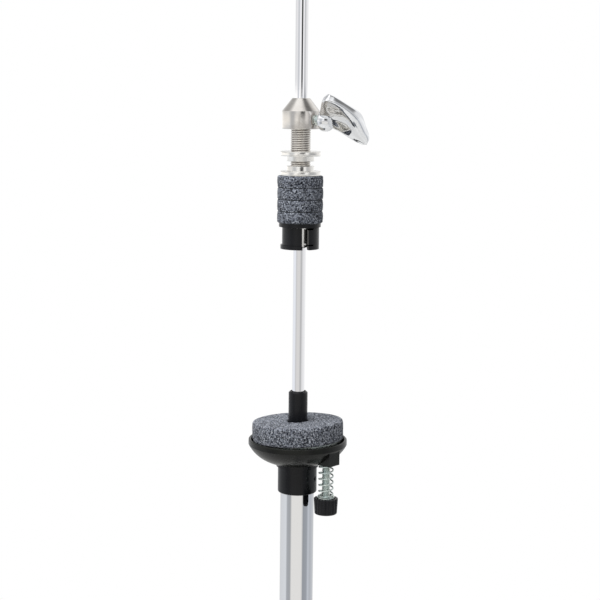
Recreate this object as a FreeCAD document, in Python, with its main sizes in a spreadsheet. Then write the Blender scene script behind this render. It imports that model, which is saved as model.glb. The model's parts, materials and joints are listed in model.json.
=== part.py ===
"""Hi-hat stand: a tripod base with a pedal, a telescoping post, a tilting bottom-cymbal seat,
and a sprung pull rod that carries the top-cymbal clutch.

Millimetres, +Z up. The origin is on the floor under the post's axis, in the middle of the base
casting's rubber pad. The pedal points along -Y, towards the player. Every size that can be set by
itself is a cell of the Sizes sheet, and each piece is bound to those cells by expressions.
A piece that stands out sideways is drawn along its own +X and turned about Z by its azimuth.
"""

import FreeCAD, Part
import math
import os
import re
import Sketcher

DOC = FreeCAD.newDocument("HiHatStand")
SHEET = DOC.addObject("Spreadsheet::Sheet", "Sizes")
X_AXIS = FreeCAD.Vector(1, 0, 0)
Y_AXIS = FreeCAD.Vector(0, 1, 0)
Z_AXIS = FreeCAD.Vector(0, 0, 1)
NODES = []

# ------------------------------------------------------------------ driving dimensions

SIZES = (
    # clearances shared by the fits
    ("running_gap", 0.05, "radial gap of a shaft that turns or slides in its hole"),
    ("side_gap", 0.4, "gap beside a part that swings"),
    # base casting and lower tube
    ("pad_h", 4, "rubber pads under the base casting and the heel plate"),
    ("bar_h", 9, "bottom bar of the base casting"),
    ("window_h", 84, "height of the opening that the toe of the pedal works in"),
    ("window_half", 26, "half width of that opening"),
    ("pillar_w", 12, "width of each pillar beside the opening"),
    ("arch_t", 22, "thickness of the base casting along Y"),
    ("arch_shoulder", 20, "drop from the socket to the shoulders of the pillars"),
    ("socket_h", 36, "height of the tube socket on the casting"),
    ("socket_r", 19, "outer radius of the socket"),
    ("socket_shoulder", 4, "ledge that the lower tube stands on"),
    ("chain_hole_r", 9.5, "hole in that ledge for the chain"),
    ("neck_h", 13, "threaded neck at the top of the socket"),
    ("neck_r", 15.5, "outer radius of the neck"),
    ("lower_tube_r", 12.7, "outer radius of the lower tube"),
    ("tube_wall", 1.5, "wall of both tubes"),
    ("lower_tube_len", 330, "length of the lower tube"),
    # tension adjuster and return spring
    ("ring_h", 17, "height of the tension ring"),
    ("ring_r", 19, "outer radius of the tension ring"),
    ("ring_lip", 4, "lip that carries the ears of the spring seat"),
    ("tension_travel", 6, "travel of the spring seat"),
    ("seat_ear_h", 4, "height of the spring seat's ears"),
    ("seat_ear_w", 4, "width of the spring seat's ears"),
    ("seat_disc_h", 5, "thickness of the spring seat's disc"),
    ("spring_wire", 1.8, "wire of the return spring"),
    ("spring_turns", 13, "turns of the return spring"),
    ("spring_len", 82, "length of the return spring at rest"),
    ("spring_r", 8.6, "mean radius of the return spring"),
    # rods
    ("rod_r", 3.5, "radius of the pull rod and the lower rod"),
    ("rod_play", 0.08, "radial play of the pull rod in the guides it slides through"),
    ("rod_end_low", 120, "height of the lower rod's bottom end"),
    ("coupling_h", 34, "height of the rod coupling"),
    ("coupling_r", 6, "radius of the rod coupling's body"),
    ("coupling_flange_r", 10.4, "radius of the flange that the spring pushes"),
    ("coupling_flange_h", 4, "thickness of that flange"),
    ("rod_above_clutch", 120, "pull rod above the clutch head"),
    ("rod_tip_r", 3.25, "radius of the pull rod's turned-down top end"),
    ("rod_tip_len", 25, "length of that end"),
    ("chain_pitch", 10, "spacing of the chain's pins"),
    ("chain_plate_t", 3, "thickness of the chain's middle plates"),
    ("chain_side_t", 1.3, "thickness of the chain's side plates"),
    ("chain_half_w", 4, "half width of the chain's plates"),
    ("chain_pin_r", 1.4, "radius of the chain's pins"),
    ("eye_r", 5.2, "radius of the bottom eye round its slot"),
    ("eye_rise", 14, "chain pin to the first pin of the chain above it"),
    ("eye_slot_half", 3.4, "half length of the slot in the bottom eye"),
    ("eye_slot_r", 2.5, "half height of that slot"),
    ("board_swing", 8.4, "swing of the footboard when it is pressed, degrees"),
    # pedal
    ("board_reach", 268, "heel hinge to chain pin"),
    ("board_angle", 13.6, "slope of the footboard at rest, degrees"),
    ("board_t", 5, "thickness of the footboard"),
    ("board_heel_half", 39, "half width of the footboard at the heel"),
    ("board_toe_half", 20, "half width of the footboard at the toe"),
    ("board_len", 252, "hinge to the front edge of the footboard"),
    ("board_start", 9, "hinge to the rear edge of the footboard"),
    ("rib_h", 1.4, "height of the grip ribs"),
    ("rib_w", 3, "width of the grip ribs"),
    ("rib_pitch", 9, "spacing of the grip ribs"),
    ("rib_count", 20, "number of grip ribs"),
    ("toe_ear_t", 3, "thickness of the ears that hold the chain pin"),
    ("toe_ear_r", 4, "radius of those ears round the pin"),
    ("toe_ear_gap", 1.5, "gap between the chain and those ears"),
    ("toe_pin_r", 2, "radius of the chain pin"),
    ("hinge_z", 18, "height of the heel hinge"),
    ("hinge_back", 262, "distance of the heel hinge from the post's axis"),
    ("hinge_pin_r", 3, "radius of the heel hinge pin"),
    ("knuckle_r", 6, "radius of the hinge knuckles"),
    ("knuckle_w", 12, "width of each heel plate knuckle"),
    ("heel_plate_half", 41, "half width of the heel plate"),
    ("heel_plate_len", 62, "length of the heel plate behind the hinge"),
    ("heel_plate_t", 10, "thickness of the heel plate"),
    ("link_rod_r", 3, "radius of the rods from the base casting to the heel plate"),
    ("link_rod_grip", 12, "length of those rods inside the casting and the plate"),
    # tripod
    ("leg_count", 3, "legs and braces"),
    ("first_leg_azimuth", 90, "azimuth of the first leg, degrees"),
    ("collar_wall", 6, "wall of the leg collar and the brace collar"),
    ("collar_half_h", 11, "half height of those collars"),
    ("collar_gap", 14, "top of the tension ring at its highest to the brace collar"),
    ("pivot_r", 26, "distance of the leg and brace pivots from the post's axis"),
    ("ear_end_r", 5.5, "radius of the ears round their pivots"),
    ("leg_angle", 43.6, "slope of the legs from the vertical, degrees"),
    ("brace_len", 105, "pivot to pivot length of a brace, and leg pivot to brace joint"),
    ("leg_ear_t", 6, "thickness of the leg collar's ears"),
    ("leg_strip_t", 2.5, "thickness of a leg strip"),
    ("leg_strip_half", 7, "half width of a leg strip"),
    ("brace_strip_t", 2, "thickness of a brace strip"),
    ("brace_strip_half", 6, "half width of a brace strip"),
    ("pivot_pin_r", 2.5, "radius of the leg and brace pivot pins"),
    ("rivet_head_r", 4.4, "radius of the rivet heads"),
    ("rivet_head_t", 1.4, "thickness of the rivet heads"),
    ("foot_z", 10, "height of the middle of a rubber foot"),
    ("foot_len", 44, "length of a rubber foot"),
    ("foot_half_w", 10.5, "half width of a rubber foot"),
    # height clamp
    ("clamp_h", 40, "height of the height clamp"),
    ("clamp_overlap", 30, "length of the lower tube inside the clamp"),
    ("clamp_wall", 5.5, "wall of the height clamp"),
    ("bush_flange_t", 2.5, "flange of the clamp bushing"),
    ("bush_len", 34, "length of the clamp bushing inside the tube"),
    ("clamp_screw_drop", 15, "height clamp's screw below the top of the lower tube"),
    ("screw_boss_r", 7.5, "radius of the screw bosses"),
    ("screw_boss_out", 6, "screw bosses beyond their collar"),
    # upper tube and seat
    ("post_r", 9.525, "outer radius of the upper tube"),
    ("post_len", 440, "length of the upper tube"),
    ("post_overlap", 95, "length of the upper tube inside the lower tube"),
    ("guide_len", 16, "length of the rod guide in the top of the upper tube"),
    ("hub_grip", 15, "length of the upper tube inside the seat hub"),
    ("hub_h", 17, "height of the seat hub"),
    ("hub_r", 11.1, "outer radius of the seat hub"),
    ("hub_flange_r", 12, "radius of the hub's top flange"),
    ("hub_flange_h", 2, "height of the hub's top flange"),
    ("key_w", 3.2, "width of the hub's key in the slot of the upper tube"),
    ("key_len", 5.6, "length of the key below the hub"),
    ("key_azimuth", -59, "azimuth of the key, degrees"),
    ("hub_screw_r", 1.5, "radius of the hub's grub screw"),
    ("hub_screw_azimuth", -26, "azimuth of the grub screw, degrees"),
    ("bowl_h", 13.9, "height of the seat bowl"),
    ("bowl_r", 28, "outer radius of the seat bowl at its rim"),
    ("bowl_rim_h", 3.0, "height of the bowl's straight rim"),
    ("bowl_wall", 1.6, "wall of the bowl"),
    ("bowl_round", 20.5, "radius of the bowl's round underside"),
    ("bowl_floor_r", 11.6, "radius of the bowl's flat floor underneath"),
    ("tilt_azimuth", -41, "azimuth of the tilt screw, degrees"),
    ("lug_w", 8.8, "width of the tilt screw's lug"),
    ("lug_out", 27.4, "distance of the lug's end from the post's axis"),
    ("lug_h", 8.5, "height of the lug below the rim"),
    ("tilt_screw_at", 21.5, "distance of the tilt screw from the post's axis"),
    ("tilt_screw_r", 2.4, "radius of the tilt screw"),
    ("tilt_drop", 19.3, "lug to the top of the knob"),
    ("tilt_knob_r", 6.9, "radius of the tilt knob"),
    ("tilt_knob_h", 9, "height of the tilt knob"),
    ("knob_flutes", 20, "flutes round the tilt knob"),
    ("flute_r", 0.55, "radius of a flute"),
    ("washer_t", 0.8, "thickness of the washer on the tilt knob"),
    ("washer_r", 4.9, "radius of that washer"),
    ("tilt_spring_r", 3.95, "mean radius of the tilt spring"),
    ("tilt_spring_wire", 0.9, "wire of the tilt spring"),
    ("tilt_spring_turns", 5.5, "turns of the tilt spring"),
    ("tip_gap", 0.25, "tilt screw's tip to the tilt plate"),
    ("plate_r", 24.5, "radius of the tilt plate"),
    ("plate_t", 1.6, "thickness of the tilt plate"),
    ("seat_tilt", 2.9, "tilt of the plate and the felt at rest, degrees"),
    ("felt_r", 25.8, "radius of the seat felt"),
    ("felt_h", 11, "thickness of the seat felt"),
    ("felt_lift", 10.4, "seat felt above the rim of the bowl"),
    ("sleeve_r", 5.4, "outer radius of the seat sleeve"),
    ("sleeve_bore", 4.25, "bore radius of the seat sleeve"),
    ("sleeve_up", 17.1, "seat sleeve above the felt"),
    ("sleeve_gap", 0.8, "gap round the sleeve in the felt and the tilt plate"),
    ("sleeve_foot_r", 8, "radius of the sleeve's foot in the bowl"),
    ("sleeve_foot_t", 1.8, "thickness of that foot"),
    # clutch
    ("clutch_gap", 98.3, "seat felt to the bottom of the clutch"),
    ("clutch_azimuth", -32.5, "azimuth of the clutch's wing screw, degrees"),
    ("release_h", 14.5, "height of the quick release"),
    ("release_flange_r", 11.7, "radius of its flange"),
    ("release_flange_h", 2.2, "thickness of its flange"),
    ("jaw_r", 9.9, "outer radius of the release jaws"),
    ("jaw_wall", 2.4, "wall of the release jaws"),
    ("jaw_lip_r", 10.8, "radius of the jaws' bottom lip"),
    ("jaw_lip_h", 2.2, "height of the jaws' bottom lip"),
    ("jaw_slot", 3.6, "width of the slots between the jaws"),
    ("jaw_drop", 0.3, "gap over the jaws"),
    ("slot_azimuth", -72, "azimuth of the slot between the jaws, degrees"),
    ("jaw_notch_len", 3, "length of the notches in the right jaw's front edge"),
    ("jaw_notch_h", 0.9, "height of those notches"),
    ("release_sleeve_r", 6.6, "outer radius of the quick release's steel sleeve"),
    ("release_pin_r", 0.7, "radius of the jaw pins"),
    ("jaw_pin_in", 1.8, "jaw pins from the edge of the slot"),
    ("jaw_pin_drop", 2.5, "jaw pins inside the jaws' outer radius, across the slot"),
    ("clutch_felt_r", 12.7, "radius of the clutch felts"),
    ("clutch_felt_h", 6.55, "thickness of a clutch felt"),
    ("clutch_felt_bore", 6.0, "bore radius of the clutch felts"),
    ("clutch_tube_r", 5.6, "outer radius of the clutch's threaded tube"),
    ("nut_flange_r", 11.3, "radius of the clutch nuts' flanges"),
    ("nut_flange_h", 2.5, "thickness of those flanges"),
    ("nut_r", 7.8, "radius of the clutch nuts' bodies"),
    ("nut_h", 5.4, "height of a clutch nut"),
    ("nut_space", 2.6, "thread between the two clutch nuts"),
    ("thread_shown", 12.4, "thread between the upper nut and the head"),
    ("head_r", 10.45, "radius of the clutch head"),
    ("head_top_r", 4.9, "radius of the top of the clutch head"),
    ("head_h", 9.8, "height of the straight part of the clutch head"),
    ("cone_h", 7, "height of the clutch head's cone"),
    ("tube_recess", 1.2, "clutch tube and its sleeve above the bottom of the jaws"),
    ("tube_grip", 1.5, "clutch tube inside the clutch head"),
    ("shoe_t", 1.6, "thickness of the clutch's clamp shoe"),
    ("shoe_gap", 0.1, "gap between the shoe and the pull rod"),
    # wing screws
    ("stud_r", 3, "radius of the wing screws' threaded studs"),
    ("wing_gap", 2.2, "face that a wing screw enters to its barrel"),
    ("wing_barrel_r", 5.2, "radius of a wing screw's barrel"),
    ("wing_len", 31, "length of a wing, from the start of its barrel"),
    ("wing_half_span", 24.6, "half span of the wings"),
    ("wing_tip_in", 11.5, "start of the barrel to the near side of the tips"),
    ("wing_tip_out", 20.5, "start of the barrel to the far side of the tips"),
    ("wing_tip_r", 5.2, "rounding of the tips"),
    ("wing_brow", 5.5, "depth of the wings' round shoulders at the outer end"),
    ("wing_brow_r", 14, "radius of those shoulders"),
    ("wing_t", 5, "thickness of the wings"),
    ("stud_grip", 10, "length of a stud inside its wing"),
    ("wing_roll", 51.5, "roll of the clutch's wings from the vertical, degrees"),
)

# ------------------------------------------------------------------ levels worked out from them

LEVELS = {
    "window_low": "pad_h + bar_h",
    "socket_low": "window_low + window_h",
    "socket_top": "socket_low + socket_h",
    "tube_low": "socket_low + socket_shoulder",
    "tube_top": "tube_low + lower_tube_len",
    "tube_bore": "lower_tube_r - tube_wall",
    "post_bore": "post_r - tube_wall",
    "arch_half": "window_half + pillar_w",
    "ring_low": "socket_top - neck_h + 1",
    "ring_top": "ring_low + ring_h",
    "seat_disc_top": "ring_top + seat_disc_h",
    "flange_low": "seat_disc_top + spring_len",
    "coupling_top": "flange_low + coupling_h",
    "rod_joint": "flange_low + coupling_h / 2",
    "brace_pivot": "ring_top + tension_travel + seat_ear_h + collar_gap",
    "leg_pivot": "brace_pivot + 2 * brace_len * cos(leg_angle * 1 deg)",
    "leg_len": "(leg_pivot - foot_z) / cos(leg_angle * 1 deg)",
    "clamp_azimuth": "first_leg_azimuth + 360 / leg_count + 180",
    "leg_strip_out": "leg_strip_in + leg_strip_t",
    "leg_strip_in": "leg_ear_t / 2 + side_gap",
    "brace_strip_in": "leg_strip_in + leg_strip_t + side_gap",
    "brace_strip_out": "brace_strip_in + brace_strip_t",
    "brace_ear_t": "2 * (brace_strip_in - side_gap)",
    "clamp_low": "tube_top - clamp_overlap",
    "clamp_top": "clamp_low + clamp_h",
    "clamp_r": "lower_tube_r + clamp_wall",
    "collar_r": "lower_tube_r + collar_wall",
    "post_low": "tube_top - post_overlap",
    "post_top": "post_low + post_len",
    "hub_low": "post_top - hub_grip",
    "hub_top": "hub_low + hub_h",
    "slot_half": "key_w / 2 + 0.2",
    "rim_top": "hub_top + bowl_h",
    "rim_low": "rim_top - bowl_rim_h",
    "lug_low": "rim_low - lug_h",
    "felt_top": "rim_top + felt_lift",
    "tilt_centre": "felt_top - felt_h / 2",
    "plate_low": "felt_h / 2 + plate_t",
    "tilt_hole_r": "sleeve_r + sleeve_gap",
    "screw_tip": "tilt_centre + tilt_screw_at * tan(seat_tilt * 1 deg)"
                 " - plate_low / cos(seat_tilt * 1 deg) - tip_gap",
    "knob_top": "lug_low - tilt_drop",
    "washer_top": "knob_top + washer_t",
    "release_low": "felt_top + clutch_gap",
    "release_top": "release_low + release_h",
    "jaw_top": "release_top - release_flange_h - jaw_drop",
    "clutch_felts_top": "release_top + 4 * clutch_felt_h",
    "lower_nut_top": "clutch_felts_top + nut_h",
    "upper_nut_low": "lower_nut_top + nut_space",
    "upper_nut_top": "upper_nut_low + nut_h",
    "head_low": "upper_nut_top + thread_shown",
    "head_mid": "head_low + head_h / 2",
    "head_top": "head_low + head_h + cone_h",
    "rod_top": "head_top + rod_above_clutch",
    "chain_pin_y": "board_reach * cos(board_angle * 1 deg) - hinge_back",
    "chain_pin_z": "hinge_z + board_reach * sin(board_angle * 1 deg)",
    "eye_top_pin": "chain_pin_z + eye_rise",
    "link_rod_z": "pad_h + link_rod_r + 2.5",
    "link_rod_x": "window_half + pillar_w / 2",
    "clutch_bore": "rod_r + rod_play",
    "board_pressed": "board_angle - board_swing",
    "eye_mid_y": "board_reach * (cos(board_angle * 1 deg) + cos(board_pressed * 1 deg)) / 2"
                 " - hinge_back",
    "board_knuckle": "heel_plate_half - knuckle_w - side_gap",
    "heel_front": "-hinge_back + knuckle_r",
}


def fill_sheet():
    """Writes the driving dimensions to the sheet, one row each: name, value, note."""
    for row, (alias, value, note) in enumerate(SIZES, start=1):
        SHEET.set(f"A{row}", alias)
        SHEET.set(f"B{row}", str(value))
        SHEET.set(f"C{row}", note)
        SHEET.setAlias(f"B{row}", alias)
    DOC.recompute()


ALIASES = {alias for alias, value, note in SIZES}


def bound(text):
    """An expression on the sheet's cells, from text that uses the names of sizes and levels."""
    def name(match):
        word = match.group(0)
        if word in LEVELS:
            return "(" + bound(LEVELS[word]) + ")"
        return "Sizes." + word if word in ALIASES else word
    return re.sub(r"[a-z][a-z0-9_]*", name, str(text))


def number(text):
    """The value of such an expression now."""
    return float(SHEET.evalExpression(bound(text)))


# ------------------------------------------------------------------ modelling helpers

def origin_feature(owner, role):
    return next(f for f in owner.Origin.OriginFeatures if f.Role == role)


def new_body(label, many=False):
    owner = DOC.addObject("PartDesign::Body", label)
    owner.Label = label
    if many:
        owner.AllowCompound = True
    return owner


def new_sketch(owner, plane, offset=None, at=None, turn=None, tilt=None):
    """A sketch on one of the body's own planes, lifted along the plane's normal by offset. Its
    origin can be moved to at, and its axes turned in the plane, or tilted about its own X axis."""
    drawn = owner.newObject("Sketcher::SketchObject", owner.Name + "_sketch")
    drawn.AttachmentSupport = [(origin_feature(owner, plane + "_Plane"), "")]
    drawn.MapMode = "FlatFace"
    moves = {".AttachmentOffset.Base.z": offset}
    if at:
        moves[".AttachmentOffset.Base.x"] = at[0]
        moves[".AttachmentOffset.Base.y"] = at[1]
        moves[".AttachmentOffset.Base.z"] = at[2] if len(at) == 3 else offset
    if turn or tilt:
        axis = Z_AXIS if turn else X_AXIS
        drawn.AttachmentOffset.Rotation = FreeCAD.Rotation(axis, 1)
        moves[".AttachmentOffset.Rotation.Angle"] = f"({turn or tilt}) * 1 deg"
    for key, text in moves.items():
        if text is not None:
            drawn.setExpression(key, bound(text))
    DOC.recompute()
    return drawn


def hold(drawn, kind, geometry, end, text):
    """Fixes a distance from the sketch's origin to a point, as an expression."""
    made = drawn.addConstraint(Sketcher.Constraint(kind, -1, 1, geometry, end, number(text)))
    drawn.setExpression(f"Constraints[{made}]", bound(text))


def arc_radius(drawn, arc, text):
    """Fixes an arc's radius. A half circle is fixed by its middle instead, as its ends already
    set the radius."""
    made = drawn.Geometry[arc]
    if abs(made.EndPoint.distanceToPoint(made.StartPoint) - 2 * made.Radius) < 1e-6:
        drawn.addConstraint(Sketcher.Constraint("Symmetric", arc, 1, arc, 2, arc, 3))
        return
    held = drawn.addConstraint(Sketcher.Constraint("Radius", arc, number(text)))
    drawn.setExpression(f"Constraints[{held}]", bound(text))


def outline(drawn, points):
    """A closed outline. Each point is (x, y), or (x, y, radius) where an arc of that radius leads
    to the next point, bulging to the right of the way there, or to the left if radius starts '-'."""
    first = drawn.GeometryCount
    places = [FreeCAD.Vector(number(p[0]), number(p[1]), 0) for p in points]
    ends = []
    for i, point in enumerate(points):
        a, b = places[i], places[(i + 1) % len(points)]
        if len(point) == 2:
            drawn.addGeometry(Part.LineSegment(a, b), False)
            ends.append((1, 2))
            continue
        left = point[2].startswith("-")
        radius = number(point[2].lstrip("-"))
        chord = b - a
        across = FreeCAD.Vector(-chord.y, chord.x, 0).normalize() * (-1 if left else 1)
        rise = math.sqrt(max(radius**2 - (chord.Length / 2) ** 2, 0))
        centre = (a + b) * 0.5 + across * rise
        start, stop = (b, a) if left else (a, b)
        angles = [math.atan2(p.y - centre.y, p.x - centre.x) for p in (start, stop)]
        circle = Part.Circle(centre, Z_AXIS, radius)
        drawn.addGeometry(Part.ArcOfCircle(circle, *angles), False)
        ends.append((2, 1) if left else (1, 2))
    count = len(points)
    for i in range(count):
        after = (i + 1) % count
        drawn.addConstraint(
            Sketcher.Constraint("Coincident", first + i, ends[i][1], first + after, ends[after][0])
        )
    for i, point in enumerate(points):
        hold(drawn, "DistanceX", first + i, ends[i][0], point[0])
        hold(drawn, "DistanceY", first + i, ends[i][0], point[1])
        if len(point) == 3:
            arc_radius(drawn, first + i, point[2].lstrip("-"))
    return drawn


def circle(drawn, x, y, radius):
    middle = FreeCAD.Vector(number(x), number(y), 0)
    made = drawn.addGeometry(Part.Circle(middle, Z_AXIS, number(radius)), False)
    hold(drawn, "DistanceX", made, 3, x)
    hold(drawn, "DistanceY", made, 3, y)
    fixed = drawn.addConstraint(Sketcher.Constraint("Radius", made, number(radius)))
    drawn.setExpression(f"Constraints[{fixed}]", bound(radius))
    return drawn


def rectangle(drawn, x_low, x_high, y_low, y_high):
    corners = [(x_low, y_low), (x_high, y_low), (x_high, y_high), (x_low, y_high)]
    return outline(drawn, corners)


def material(owner):
    return owner.Shape.Volume if not owner.Shape.isNull() else 0.0


def feature(owner, kind, drawn, **settings):
    """Adds a feature that reads a sketch. One that takes material away has to make the body smaller."""
    DOC.recompute()
    before = material(owner)
    made = owner.newObject("PartDesign::" + kind, owner.Name + "_" + kind.lower())
    made.Profile = drawn
    for key, value in settings.items():
        if key in ("Length", "Angle", "Length2") and isinstance(value, str):
            made.setExpression(key, bound(value))
        else:
            setattr(made, key, value)
    DOC.recompute()
    if "Up-to-date" not in made.State:
        raise RuntimeError(f"{owner.Label}: {made.Name} {made.State} {drawn.State}")
    if kind in ("Pocket", "Groove") and material(owner) > before - 1e-6:
        raise RuntimeError(f"{owner.Label}: {made.Name} took nothing away")
    return made


def pad(owner, drawn, length, symmetric=False, back=False):
    side = "Symmetric" if symmetric else "One side"
    return feature(owner, "Pad", drawn, Length=length, SideType=side, Reversed=back)


def pocket(owner, drawn, length=None, symmetric=False, back=False):
    """Cuts along the sketch's normal, or against it with back; right through without a length."""
    settings = {"SideType": "Symmetric" if symmetric else "One side", "Reversed": not back}
    if length is None:
        settings["Type"] = "ThroughAll"
    else:
        settings["Length"] = length
    return feature(owner, "Pocket", drawn, **settings)


def revolve(owner, points, groove=False, axis="V_Axis"):
    """Turns an outline of (distance from Z, height) about Z, or about X with axis H_Axis."""
    drawn = outline(new_sketch(owner, "XZ"), points)
    kind = "Groove" if groove else "Revolution"
    return feature(owner, kind, drawn, ReferenceAxis=(drawn, [axis]), Angle=360.0)


def around(owner, source, count):
    """Repeats a feature evenly about Z."""
    made = owner.newObject("PartDesign::PolarPattern", owner.Name + "_around")
    made.Originals = [source]
    made.Axis = (origin_feature(owner, "Z_Axis"), [""])
    made.Angle = 360.0
    made.setExpression("Occurrences", bound(count))
    owner.Tip = made
    DOC.recompute()
    return made


def soften(owner, radius, chosen, kind="Fillet"):
    """Rounds or chamfers the edges of the body that chosen(edge) picks."""
    DOC.recompute()
    tip = owner.Tip
    names = [f"Edge{i}" for i, e in enumerate(tip.Shape.Edges, start=1) if chosen(e)]
    if not names:
        raise RuntimeError(f"{owner.Label}: no edge to soften")
    made = owner.newObject("PartDesign::" + kind, owner.Name + "_" + kind.lower())
    made.Base = (tip, names)
    made.setExpression("Radius" if kind == "Fillet" else "Size", bound(radius))
    DOC.recompute()
    return made


def near(value, text, slack=0.02):
    return abs(value - number(text)) < slack


def level_rim(text, low=None, high=None):
    """Picks the round edges that lie at a height, between two radii if they are given."""
    def chosen(edge):
        box = edge.BoundBox
        if box.ZLength > 0.01 or not near(box.ZMin, text):
            return False
        if not hasattr(edge.Curve, "Radius"):
            return False
        radius = edge.Curve.Radius
        return (low is None or radius > number(low) - 0.01) and (
            high is None or radius < number(high) + 0.01)
    return chosen


def place(owner, z="0", azimuth=None, x="0", y="0"):
    """Puts a body at a height, turned about Z to an azimuth."""
    for key, text in (("x", x), ("y", y), ("z", z)):
        if text != "0":
            owner.setExpression(f".Placement.Base.{key}", bound(text))
    if azimuth is not None:
        owner.Placement.Rotation = FreeCAD.Rotation(Z_AXIS, number(azimuth))
        owner.setExpression(".Placement.Rotation.Angle", bound(f"({azimuth}) * 1 deg"))
    return owner


def keep(made, label=None):
    """Names an object as one of the stand's nodes."""
    if label:
        made.Label = label
    NODES.append(made)
    return made


def group(label, members):
    """One node of several separate solids."""
    made = DOC.addObject("Part::Compound", label)
    made.Links = members
    return keep(made, label)


def ring(label, outer, inner, low, high):
    """A plain ring or tube about Z."""
    owner = new_body(label)
    revolve(owner, [(inner, low), (outer, low), (outer, high), (inner, high)])
    return owner


def leg_azimuth(index):
    return f"first_leg_azimuth + {index} * 360 / leg_count"


# ------------------------------------------------------------------ base and lower tube

def base_casting():
    """Arch that carries the tube socket, with a window for the toe of the pedal."""
    owner = new_body("base_casting")
    shoulder = "socket_low - arch_shoulder"
    drawn = outline(new_sketch(owner, "XZ"), [
        ("-arch_half", "pad_h"),
        ("arch_half", "pad_h"),
        ("arch_half", shoulder),
        ("socket_r", "socket_low + socket_shoulder"),
        ("-socket_r", "socket_low + socket_shoulder"),
        ("-arch_half", shoulder),
    ])
    pad(owner, drawn, "arch_t", symmetric=True)
    revolve(owner, [
        ("0", "socket_low - 3"),
        ("socket_r", "socket_low - 3"),
        ("socket_r", "socket_top - neck_h"),
        ("neck_r", "socket_top - neck_h"),
        ("neck_r", "socket_top"),
        ("0", "socket_top"),
    ])
    window = outline(new_sketch(owner, "XZ"), [
        ("-window_half", "window_low"),
        ("window_half", "window_low"),
        ("window_half", "socket_low - window_half * 0.6", "window_half * 1.15"),
        ("-window_half", "socket_low - window_half * 0.6"),
    ])
    pocket(owner, window, "4 * socket_r", symmetric=True)
    revolve(owner, [
        ("0", "socket_low - 6"),
        ("chain_hole_r", "socket_low - 6"),
        ("chain_hole_r", "tube_low"),
        ("lower_tube_r", "tube_low"),
        ("lower_tube_r", "socket_top + 1"),
        ("0", "socket_top + 1"),
    ], groove=True)
    holes = new_sketch(owner, "XZ", "arch_t / 2")
    for side in ("-link_rod_x", "link_rod_x"):
        circle(holes, side, "link_rod_z", "link_rod_r")
    pocket(owner, holes, "link_rod_grip", back=True)
    soften(owner, "1.2", lambda e: near(abs(e.BoundBox.YMin), "arch_t / 2")
           and e.BoundBox.YLength < 0.01 and e.BoundBox.ZLength > 20)
    keep(owner)


def floor_pads():
    """Rubber under the base casting and under the heel plate."""
    base = new_body("base_pad")
    drawn = rectangle(new_sketch(base, "XY"), "-arch_half", "arch_half", "-arch_t / 2", "arch_t / 2")
    pad(base, drawn, "pad_h")
    heel = new_body("heel_pad")
    drawn = rectangle(new_sketch(heel, "XY"), "3 - heel_plate_half", "heel_plate_half - 3",
                      "-hinge_back - heel_plate_len + 3", "-hinge_back - knuckle_r - 3")
    pad(heel, drawn, "pad_h")
    for owner in (base, heel):
        soften(owner, "3", lambda e: e.BoundBox.ZLength > number("pad_h") / 2)
    group("floor_pads", [base, heel])


def lower_tube():
    owner = ring("lower_tube", "lower_tube_r", "tube_bore", "tube_low", "tube_top")
    slots = rectangle(new_sketch(owner, "YZ"), "-seat_ear_w / 2 - 0.2", "seat_ear_w / 2 + 0.2",
                      "ring_top - 0.3", "ring_top + seat_ear_h + tension_travel + 0.5")
    pocket(owner, slots, "4 * lower_tube_r", symmetric=True)
    screw_hole = circle(new_sketch(owner, "YZ"), "0", "tube_top - clamp_screw_drop",
                        "stud_r + running_gap")
    pocket(owner, screw_hole, "2 * lower_tube_r")
    place(owner, azimuth="clamp_azimuth")
    keep(owner)


def spring_seat():
    """Disc under the return spring, with two ears that reach out through the tube's slots."""
    owner = new_body("spring_seat")
    inner = "rod_r + 1.2"
    revolve(owner, [
        (inner, "ring_top"),
        ("tube_bore - 0.3", "ring_top"),
        ("tube_bore - 0.3", "seat_disc_top"),
        (inner, "seat_disc_top"),
    ])
    for low, high in (("tube_bore - 2", "ring_r - 2"), ("2 - ring_r", "2 - tube_bore")):
        ear = rectangle(new_sketch(owner, "XY", "ring_top"), low, high,
                        "-seat_ear_w / 2", "seat_ear_w / 2")
        pad(owner, ear, "seat_ear_h")
    place(owner, azimuth="clamp_azimuth")
    keep(owner)


def tension_ring():
    """Knurled ring on the neck's thread; its lip lifts the ears of the spring seat."""
    owner = new_body("tension_ring")
    neck_bore = "neck_r + running_gap"
    tube_gap = "lower_tube_r + running_gap"
    revolve(owner, [
        (neck_bore, "ring_low"),
        ("ring_r - 1", "ring_low"),
        ("ring_r", "ring_low + 1"),
        ("ring_r", "ring_top - 1"),
        ("ring_r - 1", "ring_top"),
        (tube_gap, "ring_top"),
        (tube_gap, "ring_top - ring_lip"),
        (neck_bore, "ring_top - ring_lip"),
    ])
    groove = circle(new_sketch(owner, "XY", "ring_low"), "ring_r + 0.3", "0", "1.1")
    around(owner, pocket(owner, groove, "ring_h"), "24")
    keep(owner)


# ------------------------------------------------------------------ tripod

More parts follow.
